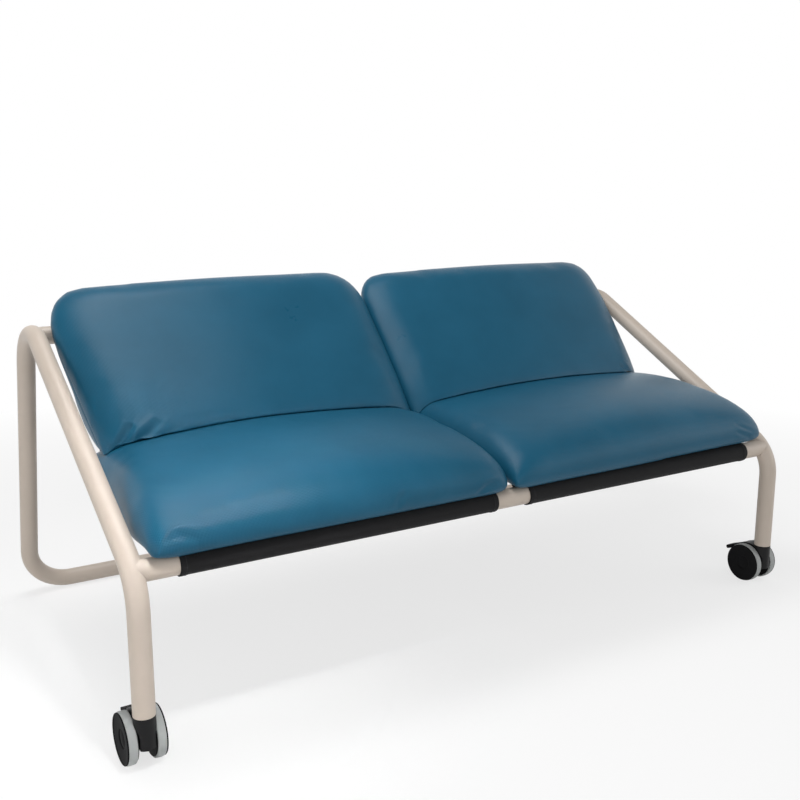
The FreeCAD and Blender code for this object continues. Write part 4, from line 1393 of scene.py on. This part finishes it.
@dataclass
class Studio:
    """The camera, the lamps, the floor and the world."""

    camera_place: Place = (-1.2021, -1.9266, 0.9297)
    camera_turn: Place = (78.302, 0.0, -31.936)
    lens: float = 45.0
    sensor: float = 36.0
    lamps: tuple[Lamp, ...] = (
        Lamp("key_light", (-0.55, 0.1, 2.4), (-0.3, -0.2, 0.45), 0.9, 25.0),
        Lamp("glint_light", (-0.46, -1.22, 2.22), (-0.60, -0.40, 0.42), 0.26, 0.75, 28.0),
        Lamp("left_light", (-2.6, -0.9, 0.9), (-0.5, -0.2, 0.3), 1.3, 12.0),
        Lamp("front_light", (-1.2, -3.0, 1.4), (-0.1, 0.0, 0.3), 1.8, 18.0),
        Lamp("fill_light", (2.6, -1.6, 1.4), (0.3, 0.0, 0.3), 1.6, 12.0),
    )
    surround_light: float = 0.34
    ceiling_shown: float = 0.25
    ceiling_range: Point = (0.42, 0.68)
    floor_size: float = 40.0
    floor_white: Point = (1.2, 2.6)
    floor_shade: float = 0.3
    floor_glow: float = 0.7
    floor_bounce: float = 0.8

    def build(self) -> None:
        """Make the whole studio."""
        scene = bpy.context.scene
        scene.view_settings.view_transform = "Standard"
        self._camera(scene)
        for lamp in self.lamps:
            lamp.hang()
        self._world(scene)
        self._floor()

    def _camera(self, scene: bpy.types.Scene) -> None:
        """Stand the camera where the photograph was taken from."""
        data = bpy.data.cameras.new("photo_camera")
        data.lens = self.lens
        data.sensor_width = self.sensor
        data.dof.use_dof = False
        camera = bpy.data.objects.new("photo_camera", data)
        camera.location = self.camera_place
        camera.rotation_euler = tuple(math.radians(angle) for angle in self.camera_turn)
        scene.collection.objects.link(camera)
        scene.camera = camera

    @staticmethod
    def _seen(graph: NodeGraph) -> bpy.types.NodeSocket:
        """1 for rays that show a surface to the camera, straight or through a reflection or glass."""
        rays = graph.add("ShaderNodeLightPath").outputs
        both = graph.math("MAXIMUM", rays["Is Camera Ray"], rays["Is Glossy Ray"])
        return graph.math("MAXIMUM", both, rays["Is Transmission Ray"])

    def _world(self, scene: bpy.types.Scene) -> None:
        """A white surround under a grey ceiling, which lights the sofa less than it shows."""
        world = bpy.data.worlds.new("white_studio")
        world.use_nodes = True
        scene.world = world
        graph = NodeGraph(world.node_tree)
        ray = graph.add("ShaderNodeTexCoord").outputs["Generated"]
        towards = graph.add("ShaderNodeSeparateXYZ", {0: ray})
        shown = graph.ranged(towards.outputs["Z"], *self.ceiling_range, 1.0, self.ceiling_shown)
        strength = graph.add("ShaderNodeMix", {"Factor": self._seen(graph), 2: self.surround_light, 3: shown},
                             data_type="FLOAT")
        light = graph.add("ShaderNodeBackground", {"Color": WHITE, "Strength": strength.outputs[0]})
        graph.add("ShaderNodeOutputWorld", {"Surface": light.outputs["Background"]})

    def _floor(self) -> None:
        """A pale floor that turns white further out."""
        half = self.floor_size / 2
        corners = np.array([(-half, -half, 0.0), (half, -half, 0.0), (half, half, 0.0), (-half, half, 0.0)])
        mesh = mesh_of("studio_floor", corners, [], [range(len(corners))])
        floor = object_of("studio_floor", mesh)
        paint = bpy.data.materials.new("pale_floor")
        paint.use_nodes = True
        graph = NodeGraph(paint.node_tree)
        place = graph.add("ShaderNodeTexCoord").outputs["Object"]
        away = graph.add("ShaderNodeVectorMath", {0: place}, operation="LENGTH").outputs["Value"]
        white = graph.ranged(away, *self.floor_white, 0.0, 1.0)
        near = graph.add("ShaderNodeBsdfDiffuse", {"Color": (*[self.floor_shade] * 3, 1.0)})
        glow = graph.add("ShaderNodeEmission", {"Color": WHITE, "Strength": self.floor_glow})
        bright = graph.add("ShaderNodeEmission", {"Color": WHITE, "Strength": 1.0})
        lit = graph.add("ShaderNodeAddShader", {0: near.outputs[0], 1: glow.outputs[0]})
        shown = graph.add("ShaderNodeMixShader", {0: white, 1: lit.outputs[0], 2: bright.outputs[0]})
        plain = graph.add("ShaderNodeBsdfDiffuse", {"Color": (*[self.floor_bounce] * 3, 1.0)})
        both = graph.add("ShaderNodeMixShader", {0: self._seen(graph), 1: plain.outputs[0],
                         2: shown.outputs[0]})
        graph.add("ShaderNodeOutputMaterial", {"Surface": both.outputs[0]})
        mesh.materials.append(paint)


# The cushions' shapes, in millimetres from the front legs
SEAT_PROFILE = (
    (3, 346), (-12, 366), (-9, 394), (14, 424), (58, 449), (120, 468), (190, 479), (260, 484), (330, 481),
    (400, 469), (455, 448), (498, 415), (513, 380), (503, 342), (470, 318), (400, 319), (250, 333),
    (120, 345), (40, 351))
BACK_PROFILE = (
    (328, 442), (362, 494), (426, 570), (494, 641), (554, 706), (587, 738), (618, 750), (650, 742),
    (666, 716), (654, 676), (620, 612), (585, 546), (552, 486), (520, 446), (466, 421), (394, 418),
    (338, 427))
SEAT_END_LINE = (-18.0, 4.0, 30.0, 52.0, 76.0)
BACK_END_LINE = (-8.0, 2.0, 0.0, -8.0, -16.0)


def seat_form(**own: Any) -> PillowForm:
    """A seat cushion's form, from what is its own."""
    return PillowForm(profile=SEAT_PROFILE, tilt=-5.5, anchor=(250, 352), spare=8, end_line=SEAT_END_LINE,
                      **own)


def back_form(**own: Any) -> PillowForm:
    """A back cushion's form, from what is its own."""
    return PillowForm(profile=BACK_PROFILE, tilt=48.7, anchor=(520, 600), spare=10, end_line=BACK_END_LINE,
                      lift=(-4, 4), **own)


SEAT_FORMS = {
    Side.LEFT: seat_form(
        span=(-743, -10), lift=(0, 2), end_power=2.8,
        left=EndShape(46, 50, over=78, under=52, fall=34, taper_at=(-150, 60), taper_by=(0, 24)),
        right=EndShape(56, 90, over=72, under=64, fall=24)),
    Side.RIGHT: seat_form(
        span=(-7, 735), lift=(2, 10), end_power=2.7,
        left=EndShape(30, 110, over=80, under=80, fall=26),
        right=EndShape(56, 90, over=62, under=90, fall=23)),
}
BACK_FORMS = {
    Side.LEFT: back_form(
        span=(-741, -6), end_power=2.4,
        left=EndShape(14, 108, over=105, under=62, fall=22, taper_at=(-200, 60), taper_by=(40, 4)),
        right=EndShape(30, 112, over=84, under=62, fall=17)),
    Side.RIGHT: back_form(
        span=(-4, 741),
        left=EndShape(30, 104, over=88, under=62, fall=22),
        right=EndShape(60, 86, over=90, under=62, fall=24, taper_at=(-200, 40), taper_by=(30, 2))),
}
SEAT_PARTING = -8.5
BACK_PARTING = -5.0
SEAT_FOLDS = {
    Side.LEFT: (
        Fold(((-719, -5, 378), (-695, -4, 390), (-679, -9, 386), (-658, -13, 377)), 8.0, 2.2),
        Fold(((-104, -10, 361), (-80, -13, 376), (-46, -10, 383)), 6.0, 2.4),
        Fold(((-284, -11, 364), (-278, -13, 382), (-258, -8, 396)), 6.0, 1.4)),
    Side.RIGHT: (
        Fold(((690, -8, 366), (668, -13, 380), (632, -10, 394)), 5.0, 2.6),
        Fold(((690, 0, 384), (664, -8, 396), (634, 0, 410)), 5.0, 1.8)),
}
BACK_FOLDS = {
    Side.LEFT: (
        Fold(((-696, 358, 419), (-681, 362, 444), (-663, 372, 469), (-642, 382, 491)), 9.0, 6.0),
        Fold(((-668, 348, 432), (-646, 356, 455), (-615, 365, 476), (-589, 375, 493)), 9.0, 6.5),
        Fold(((-623, 349, 453), (-591, 356, 468), (-562, 364, 482)), 9.0, 3.0)),
    Side.RIGHT: (
        Fold(((680, 351, 458), (666, 361, 477), (639, 375, 497)), 8.0, 2.6),),
}


def rail_centre(node: str) -> Point:
    """A cross rail's centre seen from the end, in millimetres."""
    low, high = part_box(node)
    middle = to_legs(np.array((low + high) / 2))
    return float(middle[1]), float(middle[2])


def main() -> None:
    """Build the sofa's looks, piece by piece."""
    logging.basicConfig(level=logging.INFO, format="%(name)s: %(message)s", stream=sys.stdout)
    Studio().build()
    TubeFrame().build()
    for side in Side:
        made = Caster(side).build()
        sling = Sling(side, rail_centre("front_rail"), rail_centre("top_rail"))
        made += sling.build()
        seat = Cushion("seat", SEAT_FORMS[side], sling, SEAT_PARTING, SEAT_FOLDS[side]).build()
        back = Cushion("back", BACK_FORMS[side], sling, BACK_PARTING, BACK_FOLDS[side]).build(under=seat[0])
        made += seat + back
        for piece in made:
            LOG.info("%s: %d faces", piece.name, len(piece.data.polygons))


if __name__ == "__main__":
    main()
